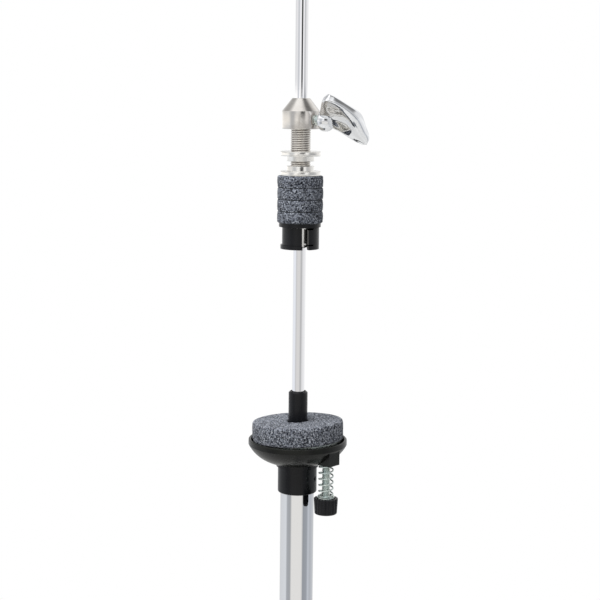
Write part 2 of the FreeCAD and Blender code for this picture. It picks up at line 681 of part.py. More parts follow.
def ear_collar(label, pivot_z, ear_t, screw=False):
    """Collar on the lower tube with one ear a leg. One that slides has a boss for a wing screw,
    midway between two ears."""
    owner = new_body(label)
    low = f"{pivot_z} - collar_half_h"
    high = f"{pivot_z} + collar_half_h"
    revolve(owner, [("0", low), ("collar_r", low), ("collar_r", high), ("0", high)])
    drawn = outline(new_sketch(owner, "XZ"), [
        ("lower_tube_r", low + " + 2"),
        ("pivot_r", f"{pivot_z} - ear_end_r", "ear_end_r"),
        ("pivot_r", f"{pivot_z} + ear_end_r"),
        ("lower_tube_r", high + " - 2"),
    ])
    circle(drawn, "pivot_r", pivot_z, "pivot_pin_r")
    around(owner, pad(owner, drawn, ear_t, symmetric=True), "leg_count")
    if screw:
        boss = circle(new_sketch(owner, "YZ"), "0", pivot_z, "screw_boss_r")
        pad(owner, boss, "collar_r + screw_boss_out", back=True)
    bore = "lower_tube_r + running_gap" if screw else "lower_tube_r"
    revolve(owner, [("0", low + " - 1"), (bore, low + " - 1"), (bore, high + " + 1"),
                    ("0", high + " + 1")], groove=True)
    if screw:
        hole = circle(new_sketch(owner, "YZ"), "0", pivot_z, "stud_r + running_gap")
        pocket(owner, hole, "2 * pivot_r", back=True)
    soften(owner, "0.8", lambda e: level_rim(low, "collar_r")(e) or level_rim(high, "collar_r")(e))
    place(owner, azimuth=leg_azimuth(1))
    keep(owner)


def pivot_pins(label, pivot_z, outside):
    """Riveted pins of a collar's ears, with a head outside the strips at both ends."""
    pins = []
    for index in range(int(number("leg_count"))):
        owner = new_body(f"{label}_{index + 1}")
        shank = circle(new_sketch(owner, "XZ"), "pivot_r", pivot_z, "pivot_pin_r")
        pad(owner, shank, f"2 * ({outside} + side_gap) + 1", symmetric=True)
        for side in ("", "-"):
            head = new_sketch(owner, "XZ", f"{side}({outside} + side_gap / 2)")
            circle(head, "pivot_r", pivot_z, "rivet_head_r")
            pad(owner, head, "rivet_head_t", back=bool(side))
        place(owner, azimuth=leg_azimuth(index))
        pins.append(owner)
    group(label, pins)


def strip_pair(owner, at, turn, length, half, inside, outside):
    """Two flat strips, side by side, from their pivot along the turned X axis."""
    drawn = outline(new_sketch(owner, "XZ", at=at, turn=turn), [
        ("0", f"-{half}"),
        (length, f"-{half}", half),
        (length, half),
        ("0", half, half),
    ])
    circle(drawn, "0", "0", "pivot_pin_r + running_gap")
    pad(owner, drawn, f"2 * ({outside})", symmetric=True)


def leg(index):
    """Double-strip leg: the strips straddle the ear above, and a block joins them in the foot."""
    owner = new_body(f"leg_{index + 1}")
    at = ("pivot_r", "leg_pivot")
    turn = "leg_angle - 90"
    strip_pair(owner, at, turn, "leg_len - 6", "leg_strip_half", "leg_strip_in", "leg_strip_out")
    gap = rectangle(new_sketch(owner, "XZ", at=at, turn=turn), "-2 * leg_strip_half",
                    "leg_len - foot_len", "-leg_strip_half - 1", "leg_strip_half + 1")
    pocket(owner, gap, "2 * leg_strip_in", symmetric=True)
    rivet = circle(new_sketch(owner, "XZ", at=at, turn=turn), "brace_len", "0", "pivot_pin_r")
    pad(owner, rivet, "2 * leg_strip_out", symmetric=True)
    place(owner, azimuth=leg_azimuth(index))
    keep(owner)


def foot(index):
    """Rubber foot over the end of a leg; its round end stands on the floor."""
    owner = new_body(f"foot_{index + 1}")
    at = ("pivot_r", "leg_pivot")
    turn = "leg_angle - 90"
    drawn = outline(new_sketch(owner, "XZ", at=at, turn=turn), [
        ("leg_len - foot_len", "-foot_z"),
        ("leg_len", "-foot_z", "foot_z"),
        ("leg_len", "foot_z"),
        ("leg_len - foot_len", "foot_z"),
    ])
    pad(owner, drawn, "2 * foot_half_w", symmetric=True)
    socket = outline(new_sketch(owner, "XZ", at=at, turn=turn), [
        ("leg_len - foot_len - 1", "-leg_strip_half"),
        ("leg_len - 6", "-leg_strip_half", "leg_strip_half"),
        ("leg_len - 6", "leg_strip_half"),
        ("leg_len - foot_len - 1", "leg_strip_half"),
    ])
    pocket(owner, socket, "2 * leg_strip_out", symmetric=True)
    side = "foot_half_w"
    soften(owner, "2", lambda e: near(abs(e.BoundBox.YMin), side) and near(abs(e.BoundBox.YMax), side)
           and e.BoundBox.YLength < 0.01)
    place(owner, azimuth=leg_azimuth(index))
    keep(owner)


def brace(index):
    """Double-strip brace outside the leg's strips, held together by a spacer half way."""
    owner = new_body(f"brace_{index + 1}")
    at = ("pivot_r", "brace_pivot")
    turn = "90 - leg_angle"
    strip_pair(owner, at, turn, "brace_len", "brace_strip_half", "brace_strip_in", "brace_strip_out")
    gap = rectangle(new_sketch(owner, "XZ", at=at, turn=turn), "-2 * brace_strip_half",
                    "brace_len + 2 * brace_strip_half", "-brace_strip_half - 1", "brace_strip_half + 1")
    circle(gap, "brace_len / 2", "0", "rivet_head_r - 1")
    pocket(owner, gap, "2 * brace_strip_in", symmetric=True)
    for side in ("", "-"):
        head = new_sketch(owner, "XZ", f"{side}(brace_strip_out - 0.2)", at=at, turn=turn)
        circle(head, "brace_len", "0", "rivet_head_r")
        pad(owner, head, "rivet_head_t + 0.2", back=bool(side))
    place(owner, azimuth=leg_azimuth(index))
    keep(owner)


# ------------------------------------------------------------------ height clamp

def height_clamp():
    """Die-cast clamp on the top of the lower tube, with a boss for its wing screw."""
    owner = new_body("height_clamp")
    revolve(owner, [("0", "clamp_low"), ("clamp_r", "clamp_low"), ("clamp_r", "clamp_top"),
                    ("0", "clamp_top")])
    screw_z = "tube_top - clamp_screw_drop"
    boss = circle(new_sketch(owner, "YZ"), "0", screw_z, "screw_boss_r")
    pad(owner, boss, "clamp_r + screw_boss_out")
    revolve(owner, [
        ("0", "clamp_low - 1"),
        ("lower_tube_r", "clamp_low - 1"),
        ("lower_tube_r", "tube_top + bush_flange_t"),
        ("post_r + 0.8", "tube_top + bush_flange_t"),
        ("post_r + 0.8", "clamp_top + 1"),
        ("0", "clamp_top + 1"),
    ], groove=True)
    hole = circle(new_sketch(owner, "YZ"), "0", screw_z, "stud_r + running_gap")
    pocket(owner, hole, "2 * clamp_r")
    soften(owner, "2", lambda e: level_rim("clamp_low", "clamp_r")(e)
           or level_rim("clamp_top", "clamp_r")(e))
    place(owner, azimuth="clamp_azimuth")
    keep(owner)


def clamp_bushing():
    """Plastic bushing that guides the upper tube in the top of the lower one."""
    owner = new_body("clamp_bushing")
    bore = "post_r + running_gap"
    revolve(owner, [
        (bore, "tube_top - bush_len"),
        ("tube_bore", "tube_top - bush_len"),
        ("tube_bore", "tube_top"),
        ("lower_tube_r", "tube_top"),
        ("lower_tube_r", "tube_top + bush_flange_t"),
        (bore, "tube_top + bush_flange_t"),
    ])
    hole = circle(new_sketch(owner, "YZ"), "0", "tube_top - clamp_screw_drop", "stud_r + running_gap")
    pocket(owner, hole, "2 * clamp_r")
    place(owner, azimuth="clamp_azimuth")
    keep(owner)


# ------------------------------------------------------------------ wing screws

def wing_screw(name, z, azimuth, face, tip):
    """A wing and its threaded stud, along +X. The stud runs from tip into the wing's barrel, which
    starts a little outside the face that it is screwed into."""
    start = f"({face} + wing_gap)"
    owner = new_body(name)
    end = f"{start} + wing_len"
    revolve(owner, [
        (start, "0"),
        (start, "wing_barrel_r - 1"),
        (f"{start} + 1", "wing_barrel_r"),
        (f"{end} - 3", "wing_barrel_r * 0.85", "-40"),
        (f"{end} - 1", "0"),
    ], axis="H_Axis")
    root = "(wing_barrel_r - 1)"
    near_tip = f"{start} + wing_tip_in"
    far_tip = f"{start} + wing_tip_out"
    drawn = outline(new_sketch(owner, "XZ", tilt="wing_roll"), [
        (f"{start} + 0.6", f"-{root}"),
        (near_tip, "2 - wing_half_span", "wing_tip_r"),
        (far_tip, "2 - wing_half_span"),
        (f"{end} - wing_brow", "-wing_half_span / 2", "wing_brow_r"),
        (end, "-wing_half_span / 5"),
        (end, "wing_half_span / 5", "wing_brow_r"),
        (f"{end} - wing_brow", "wing_half_span / 2"),
        (far_tip, "wing_half_span - 2", "wing_tip_r"),
        (near_tip, "wing_half_span - 2"),
        (f"{start} + 0.6", root),
    ])
    pad(owner, drawn, "wing_t", symmetric=True)
    bore = circle(new_sketch(owner, "YZ", start), "0", "0", "stud_r")
    pocket(owner, bore, "stud_grip")
    place(owner, z, azimuth)
    keep(owner)
    stud = new_body(name + "_stud")
    head = f"{start} + stud_grip"
    revolve(stud, [
        (tip, "0"),
        (tip, "stud_r - 0.6"),
        (f"{tip} + 0.6", "stud_r"),
        (head, "stud_r"),
        (head, "0"),
    ], axis="H_Axis")
    place(stud, z, azimuth)
    keep(stud)


# ------------------------------------------------------------------ pedal

def heel_plate():
    """Plate under the player's heel, with the outer knuckles of the hinge."""
    owner = new_body("heel_plate")
    inner = "heel_plate_half - knuckle_w"
    drawn = outline(new_sketch(owner, "XY", "pad_h"), [
        ("-heel_plate_half", "-hinge_back - heel_plate_len"),
        ("heel_plate_half", "-hinge_back - heel_plate_len"),
        ("heel_plate_half", "heel_front"),
        (inner, "heel_front"),
        (inner, "-hinge_back - knuckle_r - 1"),
        (f"-({inner})", "-hinge_back - knuckle_r - 1"),
        (f"-({inner})", "heel_front"),
        ("-heel_plate_half", "heel_front"),
    ])
    pad(owner, drawn, "heel_plate_t")
    soften(owner, "9", lambda e: e.BoundBox.ZLength > 1
           and near(e.BoundBox.YMin, "-hinge_back - heel_plate_len"))
    for side in ("", "-"):
        knuckle = new_sketch(owner, "YZ", f"{side}({inner})")
        circle(knuckle, "-hinge_back", "hinge_z", "knuckle_r")
        pad(owner, knuckle, "knuckle_w", back=bool(side))
    hole = circle(new_sketch(owner, "YZ"), "-hinge_back", "hinge_z", "hinge_pin_r")
    pocket(owner, hole, "4 * heel_plate_half", symmetric=True)
    rods = new_sketch(owner, "XZ", "-(heel_front)")
    for side in ("-link_rod_x", "link_rod_x"):
        circle(rods, side, "link_rod_z", "link_rod_r")
    pocket(owner, rods, "link_rod_grip")
    keep(owner)


def hinge_pin():
    owner = new_body("hinge_pin")
    drawn = circle(new_sketch(owner, "YZ"), "-hinge_back", "hinge_z", "hinge_pin_r")
    pad(owner, drawn, "2 * heel_plate_half - 1", symmetric=True)
    keep(owner)


def link_rods():
    """The two rods that hold the heel plate off the base casting."""
    rods = []
    for name, x in (("left", "-link_rod_x"), ("right", "link_rod_x")):
        owner = new_body("link_rod_" + name)
        drawn = circle(new_sketch(owner, "XZ", "arch_t / 2 - link_rod_grip"), x, "link_rod_z",
                       "link_rod_r")
        pad(owner, drawn, "-(heel_front) - arch_t / 2 + 2 * link_rod_grip")
        rods.append(owner)
    group("link_rods", rods)


def footboard():
    """Footboard with grip ribs, the middle knuckle of the hinge and two ears for the chain pin."""
    owner = new_body("footboard")
    at = ("0", "-hinge_back", "hinge_z")
    plan = outline(new_sketch(owner, "XY", at=at, tilt="board_angle"), [
        ("-board_knuckle", "0"),
        ("board_knuckle", "0"),
        ("board_knuckle", "board_start"),
        ("board_heel_half", "board_start + 4"),
        ("board_heel_half", "board_len * 0.35"),
        ("board_toe_half", "board_len"),
        ("-board_toe_half", "board_len"),
        ("-board_heel_half", "board_len * 0.35"),
        ("-board_heel_half", "board_start + 4"),
        ("-board_knuckle", "board_start"),
    ])
    pad(owner, plan, "board_t", symmetric=True)
    knuckle = circle(new_sketch(owner, "YZ"), "-hinge_back", "hinge_z", "knuckle_r")
    pad(owner, knuckle, "2 * board_knuckle", symmetric=True)
    hole = circle(new_sketch(owner, "YZ"), "-hinge_back", "hinge_z", "hinge_pin_r + running_gap")
    pocket(owner, hole, "4 * board_heel_half", symmetric=True)
    pin = new_sketch(owner, "YZ", at=("-hinge_back", "hinge_z"), turn="board_angle")
    for side in ("", "-"):
        ear = new_sketch(owner, "YZ", f"{side}(chain_half_w + toe_ear_gap)", at=("-hinge_back", "hinge_z"),
                         turn="board_angle")
        outline(ear, [
            ("board_len - 4 * toe_ear_r", "-toe_ear_r"),
            ("board_reach", "-toe_ear_r", "toe_ear_r"),
            ("board_reach", "toe_ear_r"),
            ("board_len - 4 * toe_ear_r", "toe_ear_r"),
        ])
        pad(owner, ear, "toe_ear_t", back=bool(side))
    circle(pin, "board_reach", "0", "toe_pin_r")
    pocket(owner, pin, "4 * board_toe_half", symmetric=True)
    rib = new_sketch(owner, "XY", at=at, tilt="board_angle")
    rectangle(rib, "4 - board_toe_half", "board_toe_half - 4", "board_len - 8 - rib_w", "board_len - 8")
    made = pad(owner, rib, "board_t / 2 + rib_h")
    ribs = owner.newObject("PartDesign::LinearPattern", "footboard_ribs")
    ribs.Originals = [made]
    ribs.Direction = (rib, ["V_Axis"])
    ribs.Reversed = True
    ribs.setExpression("Length", bound("(rib_count - 1) * rib_pitch"))
    ribs.setExpression("Occurrences", bound("rib_count"))
    owner.Tip = ribs
    keep(owner)


def chain_pin():
    owner = new_body("chain_pin")
    drawn = circle(new_sketch(owner, "YZ"), "chain_pin_y", "chain_pin_z", "toe_pin_r")
    pad(owner, drawn, "2 * (chain_half_w + toe_ear_gap + toe_ear_t) + 1", symmetric=True)
    keep(owner)


# ------------------------------------------------------------------ rods, chain and return spring

def chain_plate(name, low, high, inner, outer, mirror):
    """A plate of the chain between two pins, at one side of the middle or right across it."""
    owner = new_body(name)
    offset = "0" if inner == "0" else f"{mirror}({inner})"
    drawn = outline(new_sketch(owner, "YZ", offset), [
        ("chain_half_w", low),
        ("chain_half_w", high, "chain_half_w"),
        ("-chain_half_w", high),
        ("-chain_half_w", low, "chain_half_w"),
    ])
    if inner == "0":
        pad(owner, drawn, outer, symmetric=True)
    else:
        pad(owner, drawn, outer, back=mirror == "-")
    return owner


def drive_chain():
    """Eye on the pedal's pin and a short chain up to the lower rod. The slot in the eye lets the
    pin swing to and fro as the footboard turns."""
    eye = new_body("chain_eye")
    far = "(eye_slot_half)"
    drawn = outline(new_sketch(eye, "YZ"), [
        (f"eye_mid_y - {far}", "chain_pin_z - eye_r"),
        (f"eye_mid_y + {far}", "chain_pin_z - eye_r", "eye_r"),
        (f"eye_mid_y + {far}", "chain_pin_z + eye_r"),
        ("chain_half_w", "eye_top_pin", "chain_half_w"),
        ("-chain_half_w", "eye_top_pin"),
        (f"eye_mid_y - {far}", "chain_pin_z + eye_r", "eye_r"),
    ])
    pad(eye, drawn, "chain_plate_t", symmetric=True)
    slot = outline(new_sketch(eye, "YZ"), [
        (f"eye_mid_y - {far}", "chain_pin_z - eye_slot_r"),
        (f"eye_mid_y + {far}", "chain_pin_z - eye_slot_r", "eye_slot_r"),
        (f"eye_mid_y + {far}", "chain_pin_z + eye_slot_r"),
        (f"eye_mid_y - {far}", "chain_pin_z + eye_slot_r", "eye_slot_r"),
    ])
    pocket(eye, slot, "2 * chain_plate_t", symmetric=True)
    solids = [eye]
    half = "chain_plate_t / 2"
    pins = ["eye_top_pin + %d * chain_pitch" % step for step in range(4)]
    solids.append(chain_plate("chain_link", pins[1], pins[2], "0", "chain_plate_t", ""))
    for link, (low, high) in enumerate(((pins[0], pins[1]), (pins[2], pins[3]))):
        for side in ("", "-"):
            name = f"chain_side_{link}{'b' if side else 'a'}"
            solids.append(chain_plate(name, low, high, half, "chain_side_t", side))
    for step, height in enumerate(pins):
        owner = new_body(f"chain_rivet_{step}")
        drawn = circle(new_sketch(owner, "YZ"), "0", height, "chain_pin_r")
        pad(owner, drawn, "chain_plate_t + 2 * chain_side_t + 1", symmetric=True)
        solids.append(owner)
    joined = DOC.addObject("Part::MultiFuse", "drive_chain")
    joined.Shapes = solids
    keep(joined, "drive_chain")


def lower_rod():
    """Lower rod, flattened at the bottom for the chain's last pin."""
    owner = new_body("lower_rod")
    revolve(owner, [("0", "rod_end_low"), ("rod_r", "rod_end_low"), ("rod_r", "rod_joint"),
                    ("0", "rod_joint")])
    low = "rod_end_low - 1"
    high = "eye_top_pin + 3 * chain_pitch + chain_half_w + 1"
    for side in ("", "-"):
        flat = rectangle(new_sketch(owner, "YZ", f"{side}chain_plate_t / 2"), "-rod_r - 1", "rod_r + 1",
                         low, high)
        pocket(owner, flat, "2 * rod_r", back=bool(side))
    hole = circle(new_sketch(owner, "YZ"), "0", "eye_top_pin + 3 * chain_pitch", "chain_pin_r")
    pocket(owner, hole, "4 * rod_r", symmetric=True)
    keep(owner)


def rod_coupling():
    """Coupling that joins the two rods; the return spring pushes up on its flange."""
    owner = new_body("rod_coupling")
    revolve(owner, [
        ("rod_r", "flange_low"),
        ("coupling_flange_r", "flange_low"),
        ("coupling_flange_r", "flange_low + coupling_flange_h"),
        ("coupling_r", "flange_low + coupling_flange_h"),
        ("coupling_r", "coupling_top"),
        ("rod_r", "coupling_top"),
    ])
    keep(owner)


def pull_rod():
    owner = new_body("pull_rod")
    revolve(owner, [
        ("0", "rod_joint"),
        ("rod_r", "rod_joint"),
        ("rod_r", "rod_top - rod_tip_len"),
        ("rod_tip_r", "rod_top - rod_tip_len"),
        ("rod_tip_r", "rod_top - 0.8"),
        ("rod_tip_r - 0.8", "rod_top"),
        ("0", "rod_top"),
    ])
    keep(owner)


def coil(label, radius, wire, turns, low, length):
    """A compression spring: round wire along a helix."""
    height = number(length) - number(wire)
    helix = Part.makeHelix(height / number(turns), height, number(radius))
    start = FreeCAD.Vector(number(radius), 0, 0)
    section = Part.Wire([Part.makeCircle(number(wire) / 2, start, Y_AXIS)])
    made = DOC.addObject("Part::Feature", label)
    made.Shape = Part.Wire(helix).makePipeShell([section], True, True)
    made.Placement.Base.z = number(f"{low} + {wire} / 2")
    return keep(made, label)


def return_spring():
    coil("return_spring", "spring_r", "spring_wire", "spring_turns", "seat_disc_top", "spring_len")


# ------------------------------------------------------------------ upper tube and seat

def upper_tube():
    owner = ring("upper_tube", "post_r", "post_bore", "post_low", "post_top")
    slot = outline(new_sketch(owner, "YZ"), [
        ("-slot_half", "post_top + 1"),
        ("-slot_half", "hub_low - key_len + key_w / 2", "slot_half"),
        ("slot_half", "hub_low - key_len + key_w / 2"),
        ("slot_half", "post_top + 1"),
    ])
    pocket(owner, slot, "2 * post_r")
    place(owner, azimuth="key_azimuth")
    keep(owner)


def rod_guide():
    """Plastic guide for the pull rod, pressed into the top of the upper tube."""
    bore = "rod_r + rod_play"
    keep(ring("rod_guide", "post_bore", bore, "post_top - guide_len", "post_top"))


def seat_hub():
    """Sleeve on the top of the upper tube, keyed to it; the bowl stands on its flange."""
    owner = new_body("seat_hub")
    revolve(owner, [
        ("0", "hub_low"),
        ("hub_r", "hub_low"),
        ("hub_r", "hub_top - hub_flange_h"),
        ("hub_flange_r", "hub_top - hub_flange_h"),
        ("hub_flange_r", "hub_top"),
        ("0", "hub_top"),
    ])
    key = outline(new_sketch(owner, "YZ", "post_bore + 0.2"), [
        ("-key_w / 2", "hub_low + 3"),
        ("-key_w / 2", "hub_low - key_len + key_w / 2", "key_w / 2"),
        ("key_w / 2", "hub_low - key_len + key_w / 2"),
        ("key_w / 2", "hub_low + 3"),
    ])
    pad(owner, key, "hub_r - 1.1 - post_bore - 0.2")
    revolve(owner, [
        ("0", "hub_low - key_len - 1"),
        ("post_bore + 0.5", "hub_low - key_len - 1"),
        ("post_bore + 0.5", "hub_low"),
        ("post_r", "hub_low"),
        ("post_r", "post_top"),
        ("rod_r + 1", "post_top"),
        ("rod_r + 1", "hub_top + 1"),
        ("0", "hub_top + 1"),
    ], groove=True)
    turn = "(hub_screw_azimuth - (key_azimuth)) * 1 deg"
    reach = "2 * hub_r"
    hole = new_sketch(owner, "YZ")
    hole.AttachmentOffset.Rotation = FreeCAD.Rotation(Y_AXIS, 1)
    hole.setExpression(".AttachmentOffset.Rotation.Angle", bound(turn))
    circle(hole, "0", "hub_low + hub_h / 2", "hub_screw_r")
    pocket(owner, hole, reach)
    soften(owner, "0.8", level_rim("hub_low", "hub_r"))
    place(owner, azimuth="key_azimuth")
    keep(owner)


def hub_screw():
    """Grub screw that holds the hub on the tube."""
    owner = new_body("hub_screw")
    drawn = circle(new_sketch(owner, "YZ", "post_r"), "0", "hub_low + hub_h / 2", "hub_screw_r")
    pad(owner, drawn, "hub_r - post_r - 0.3")
    socket = circle(new_sketch(owner, "YZ", "hub_r - 0.3"), "0", "hub_low + hub_h / 2",
                    "hub_screw_r * 0.5")
    pocket(owner, socket, "0.7", back=True)
    place(owner, azimuth="hub_screw_azimuth")
    keep(owner)


def seat_bowl():
    """Bowl under the seat felt, with the lug that the tilt screw is threaded through."""
    owner = new_body("seat_bowl")
    revolve(owner, [
        ("0", "hub_top"),
        ("bowl_floor_r", "hub_top", "bowl_round"),
        ("bowl_r", "rim_low"),
        ("bowl_r", "rim_top"),
        ("bowl_r - bowl_wall", "rim_top"),
        ("bowl_r - bowl_wall", "rim_low", "-(bowl_round - bowl_wall)"),
        ("bowl_floor_r", "hub_top + bowl_wall"),
        ("0", "hub_top + bowl_wall"),
    ])
    lug = rectangle(new_sketch(owner, "XY", "lug_low"), "lug_out / 2", "lug_out",
                    "-lug_w / 2", "lug_w / 2")
    pad(owner, lug, "lug_h")
    holes = circle(new_sketch(owner, "XY"), "tilt_screw_at", "0", "tilt_screw_r + running_gap")
    circle(holes, "0", "0", "rod_r + 1")
    pocket(owner, holes)
    spring_seat = circle(new_sketch(owner, "XY", "lug_low"), "tilt_screw_at", "0",
                         "tilt_spring_r + tilt_spring_wire / 2 + 0.2")
    pocket(owner, spring_seat, "lug_h", back=True)
    soften(owner, "0.7", lambda e: level_rim("rim_top", "bowl_r - bowl_wall")(e))
    place(owner, azimuth="tilt_azimuth")
    keep(owner)


def seat_sleeve():
    """Sleeve that centres the bottom cymbal, standing on the floor of the bowl."""
    owner = new_body("seat_sleeve")
    low = "hub_top + bowl_wall"
    revolve(owner, [
        ("sleeve_bore", low),
        ("sleeve_foot_r", low),
        ("sleeve_foot_r", low + " + sleeve_foot_t"),
        ("sleeve_r", low + " + sleeve_foot_t"),
        ("sleeve_r", "felt_top + sleeve_up - 0.8"),
        ("sleeve_r - 0.8", "felt_top + sleeve_up"),
        ("sleeve_bore", "felt_top + sleeve_up"),
    ])
    keep(owner)


def tilt_in_place(owner):
    """Stands a body on the tilting seat: drawn about the tilt's centre, raised at the screw."""
    side = number("tilt_azimuth")
    axis = FreeCAD.Vector(math.sin(math.radians(side)), -math.cos(math.radians(side)), 0)
    place(owner, "tilt_centre")
    owner.Placement.Rotation = FreeCAD.Rotation(axis, number("seat_tilt"))
    owner.setExpression(".Placement.Rotation.Angle", bound("seat_tilt * 1 deg"))
    keep(owner)


def tilt_plate():
    tilt_in_place(ring("tilt_plate", "plate_r", "tilt_hole_r", "-plate_low", "-felt_h / 2"))


def seat_felt():
    owner = ring("seat_felt", "felt_r", "tilt_hole_r", "-felt_h / 2", "felt_h / 2")
    soften(owner, "1", lambda e: level_rim("felt_h / 2", "felt_r")(e)
           or level_rim("-felt_h / 2", "felt_r")(e))
    tilt_in_place(owner)


def tilt_screw():
    """Screw that sets the tilt, from inside its knob to just under the tilt plate."""
    owner = new_body("tilt_screw")
    low = "knob_top - tilt_knob_h * 0.75"
    revolve(owner, [("0", low), ("tilt_screw_r", low), ("tilt_screw_r", "screw_tip - 0.7"),
                    ("tilt_screw_r - 0.7", "screw_tip"), ("0", "screw_tip")])
    beside_post(owner)
    keep(owner)


def beside_post(owner):
    """Moves a body from the Z axis to the tilt screw's axis."""
    angle = "((tilt_azimuth) * 1 deg)"
    place(owner, x=f"tilt_screw_at * cos{angle}", y=f"tilt_screw_at * sin{angle}")


def tilt_knob():
    """Fluted knob on the tilt screw's lower end, with a dished top."""
    owner = new_body("tilt_knob")
    low = "knob_top - tilt_knob_h"
    revolve(owner, [
        ("0", low),
        ("tilt_knob_r - 1", low),
        ("tilt_knob_r - 0.4", low + " + 0.8"),
        ("tilt_knob_r", "knob_top - 0.8"),
        ("tilt_knob_r - 0.6", "knob_top"),
        ("0", "knob_top"),
    ])
    flute = circle(new_sketch(owner, "XY", low), "tilt_knob_r + flute_r * 0.4", "0", "flute_r")
    around(owner, pocket(owner, flute), "knob_flutes")
    bore = circle(new_sketch(owner, "XY", "knob_top"), "0", "0", "tilt_screw_r")
    pocket(owner, bore, "tilt_knob_h * 0.75", back=True)
    beside_post(owner)
    keep(owner)


def tilt_washer():
    owner = ring("tilt_washer", "washer_r", "tilt_screw_r + running_gap", "knob_top", "washer_top")
    beside_post(owner)
    keep(owner)


def tilt_spring():
    made = coil("tilt_spring", "tilt_spring_r", "tilt_spring_wire", "tilt_spring_turns", "washer_top",
                "lug_low - washer_top")
    made.Placement.Base.x = number("tilt_screw_at * cos(tilt_azimuth * 1 deg)")
    made.Placement.Base.y = number("tilt_screw_at * sin(tilt_azimuth * 1 deg)")


# ------------------------------------------------------------------ clutch

def clutch_head():
    """Clutch head: a straight part with the wing screw's hole, and a cone above."""
    owner = new_body("clutch_head")
    shoulder = "head_low + head_h"
    revolve(owner, [
        ("clutch_tube_r", "head_low"),
        ("head_r - 0.5", "head_low"),
        ("head_r", "head_low + 0.5"),
        ("head_r", shoulder),
        ("head_top_r", "head_top"),
        ("clutch_bore", "head_top"),
        ("clutch_bore", "head_low + tube_grip"),
        ("clutch_tube_r", "head_low + tube_grip"),
    ])
    hole = circle(new_sketch(owner, "YZ"), "0", "head_mid", "stud_r + running_gap")
    pocket(owner, hole, "2 * head_r")
    place(owner, azimuth="clutch_azimuth")
    keep(owner)


def clutch_tube():
    keep(ring("clutch_tube", "clutch_tube_r", "clutch_bore", "release_low + tube_recess",
              "head_low + tube_grip"))


def clutch_shoe():
    """Disc that the wing screw presses against the pull rod."""
    owner = new_body("clutch_shoe")
    drawn = circle(new_sketch(owner, "YZ", "rod_r + shoe_gap"), "0", "head_mid", "stud_r")
    pad(owner, drawn, "shoe_t")
    place(owner, azimuth="clutch_azimuth")
    keep(owner)


def clutch_nut(label, low, flange_on_top):
    """Round nut with a flange."""
    owner = new_body(label)
    high = f"{low} + nut_h"
    flange_low = f"{high} - nut_flange_h" if flange_on_top else low
    body_low = low if flange_on_top else f"{low} + nut_flange_h"
    bore = "clutch_tube_r + running_gap"
    flange = circle(new_sketch(owner, "XY", flange_low), "0", "0", "nut_flange_r")
    pad(owner, flange, "nut_flange_h")
    barrel = circle(new_sketch(owner, "XY", body_low), "0", "0", "nut_r")
    pad(owner, barrel, "nut_h - nut_flange_h")
    hole = circle(new_sketch(owner, "XY", low), "0", "0", bore)
    pocket(owner, hole)
    soften(owner, "0.5", lambda e: level_rim(flange_low, "nut_flange_r")(e)
           or level_rim(f"{flange_low} + nut_flange_h", "nut_flange_r")(e))
    keep(owner)


def clutch_felts():
    """Two felts over the top cymbal's place and two under it."""
    for label, first in (("lower_felts", 0), ("upper_felts", 2)):
        pair = []
        for index in (first, first + 1):
            low = f"release_top + {index} * clutch_felt_h"
            high = f"release_top + {index + 1} * clutch_felt_h"
            pair.append(ring(f"clutch_felt_{index + 1}", "clutch_felt_r", "clutch_felt_bore", low, high))
        group(label, pair)


# ------------------------------------------------------------------ quick release

HINGE = ("jaw_slot / 2 + jaw_pin_in", "jaw_r - jaw_pin_drop")


def release_core():
    """Flange of the quick release, which carries the steel sleeve and the jaw pins."""
    owner = ring("release_core", "release_flange_r", "release_sleeve_r",
                 "release_top - release_flange_h", "release_top")
    holes = new_sketch(owner, "XY")
    for side in ("", "-"):
        circle(holes, f"{side}({HINGE[0]})", HINGE[1], "release_pin_r")
    pocket(owner, holes)
    place(owner, azimuth="slot_azimuth + 90")
    keep(owner)


def release_sleeve():
    bore = "clutch_tube_r + running_gap"
    keep(ring("release_sleeve", "release_sleeve_r", bore, "release_low + tube_recess", "release_top"))


def release_pins():
    pins = []
    for name, side in (("right", ""), ("left", "-")):
        owner = new_body("release_pin_" + name)
        drawn = new_sketch(owner, "XY", "release_low + 1.5")
        circle(drawn, f"{side}({HINGE[0]})", HINGE[1], "release_pin_r")
        pad(owner, drawn, "release_h - 1.5")
        place(owner, azimuth="slot_azimuth + 90")
        pins.append(owner)
    group("release_pins", pins)


def release_jaw(label, hinge_side, azimuth, radii, notched=False):
    """One jaw: half a ring round the sleeve. Each of its radii goes up to a height. The notched one
    has two small cuts in its front edge, under the flange and over the lip, for a fingernail."""
    owner = new_body(label)
    half = "jaw_slot / 2"
    inner = "jaw_r - jaw_wall"
    for outer, height in radii:
        far = f"sqrt(({outer})^2 - ({half})^2)"
        close = f"sqrt(({inner})^2 - ({half})^2)"
        drawn = outline(new_sketch(owner, "XY", "release_low"), [
            (half, f"-{far}", outer),
            (half, far),
            (half, close, f"-({inner})"),
            (half, f"-{close}"),
        ])
        pad(owner, drawn, height)
    if notched:
        for low in ("release_low + jaw_lip_h", "jaw_top - jaw_notch_h"):
            notch = rectangle(new_sketch(owner, "XZ"), "0", f"{half} + jaw_notch_len", low,
                              f"{low} + jaw_notch_h")
            pocket(owner, notch, "2 * jaw_r")
    hole = circle(new_sketch(owner, "XY", "release_low"), HINGE[0], f"{hinge_side}({HINGE[1]})",
                  "release_pin_r + running_gap")
    pocket(owner, hole)
    place(owner, azimuth=azimuth)
    keep(owner)


# ------------------------------------------------------------------ build, check and export

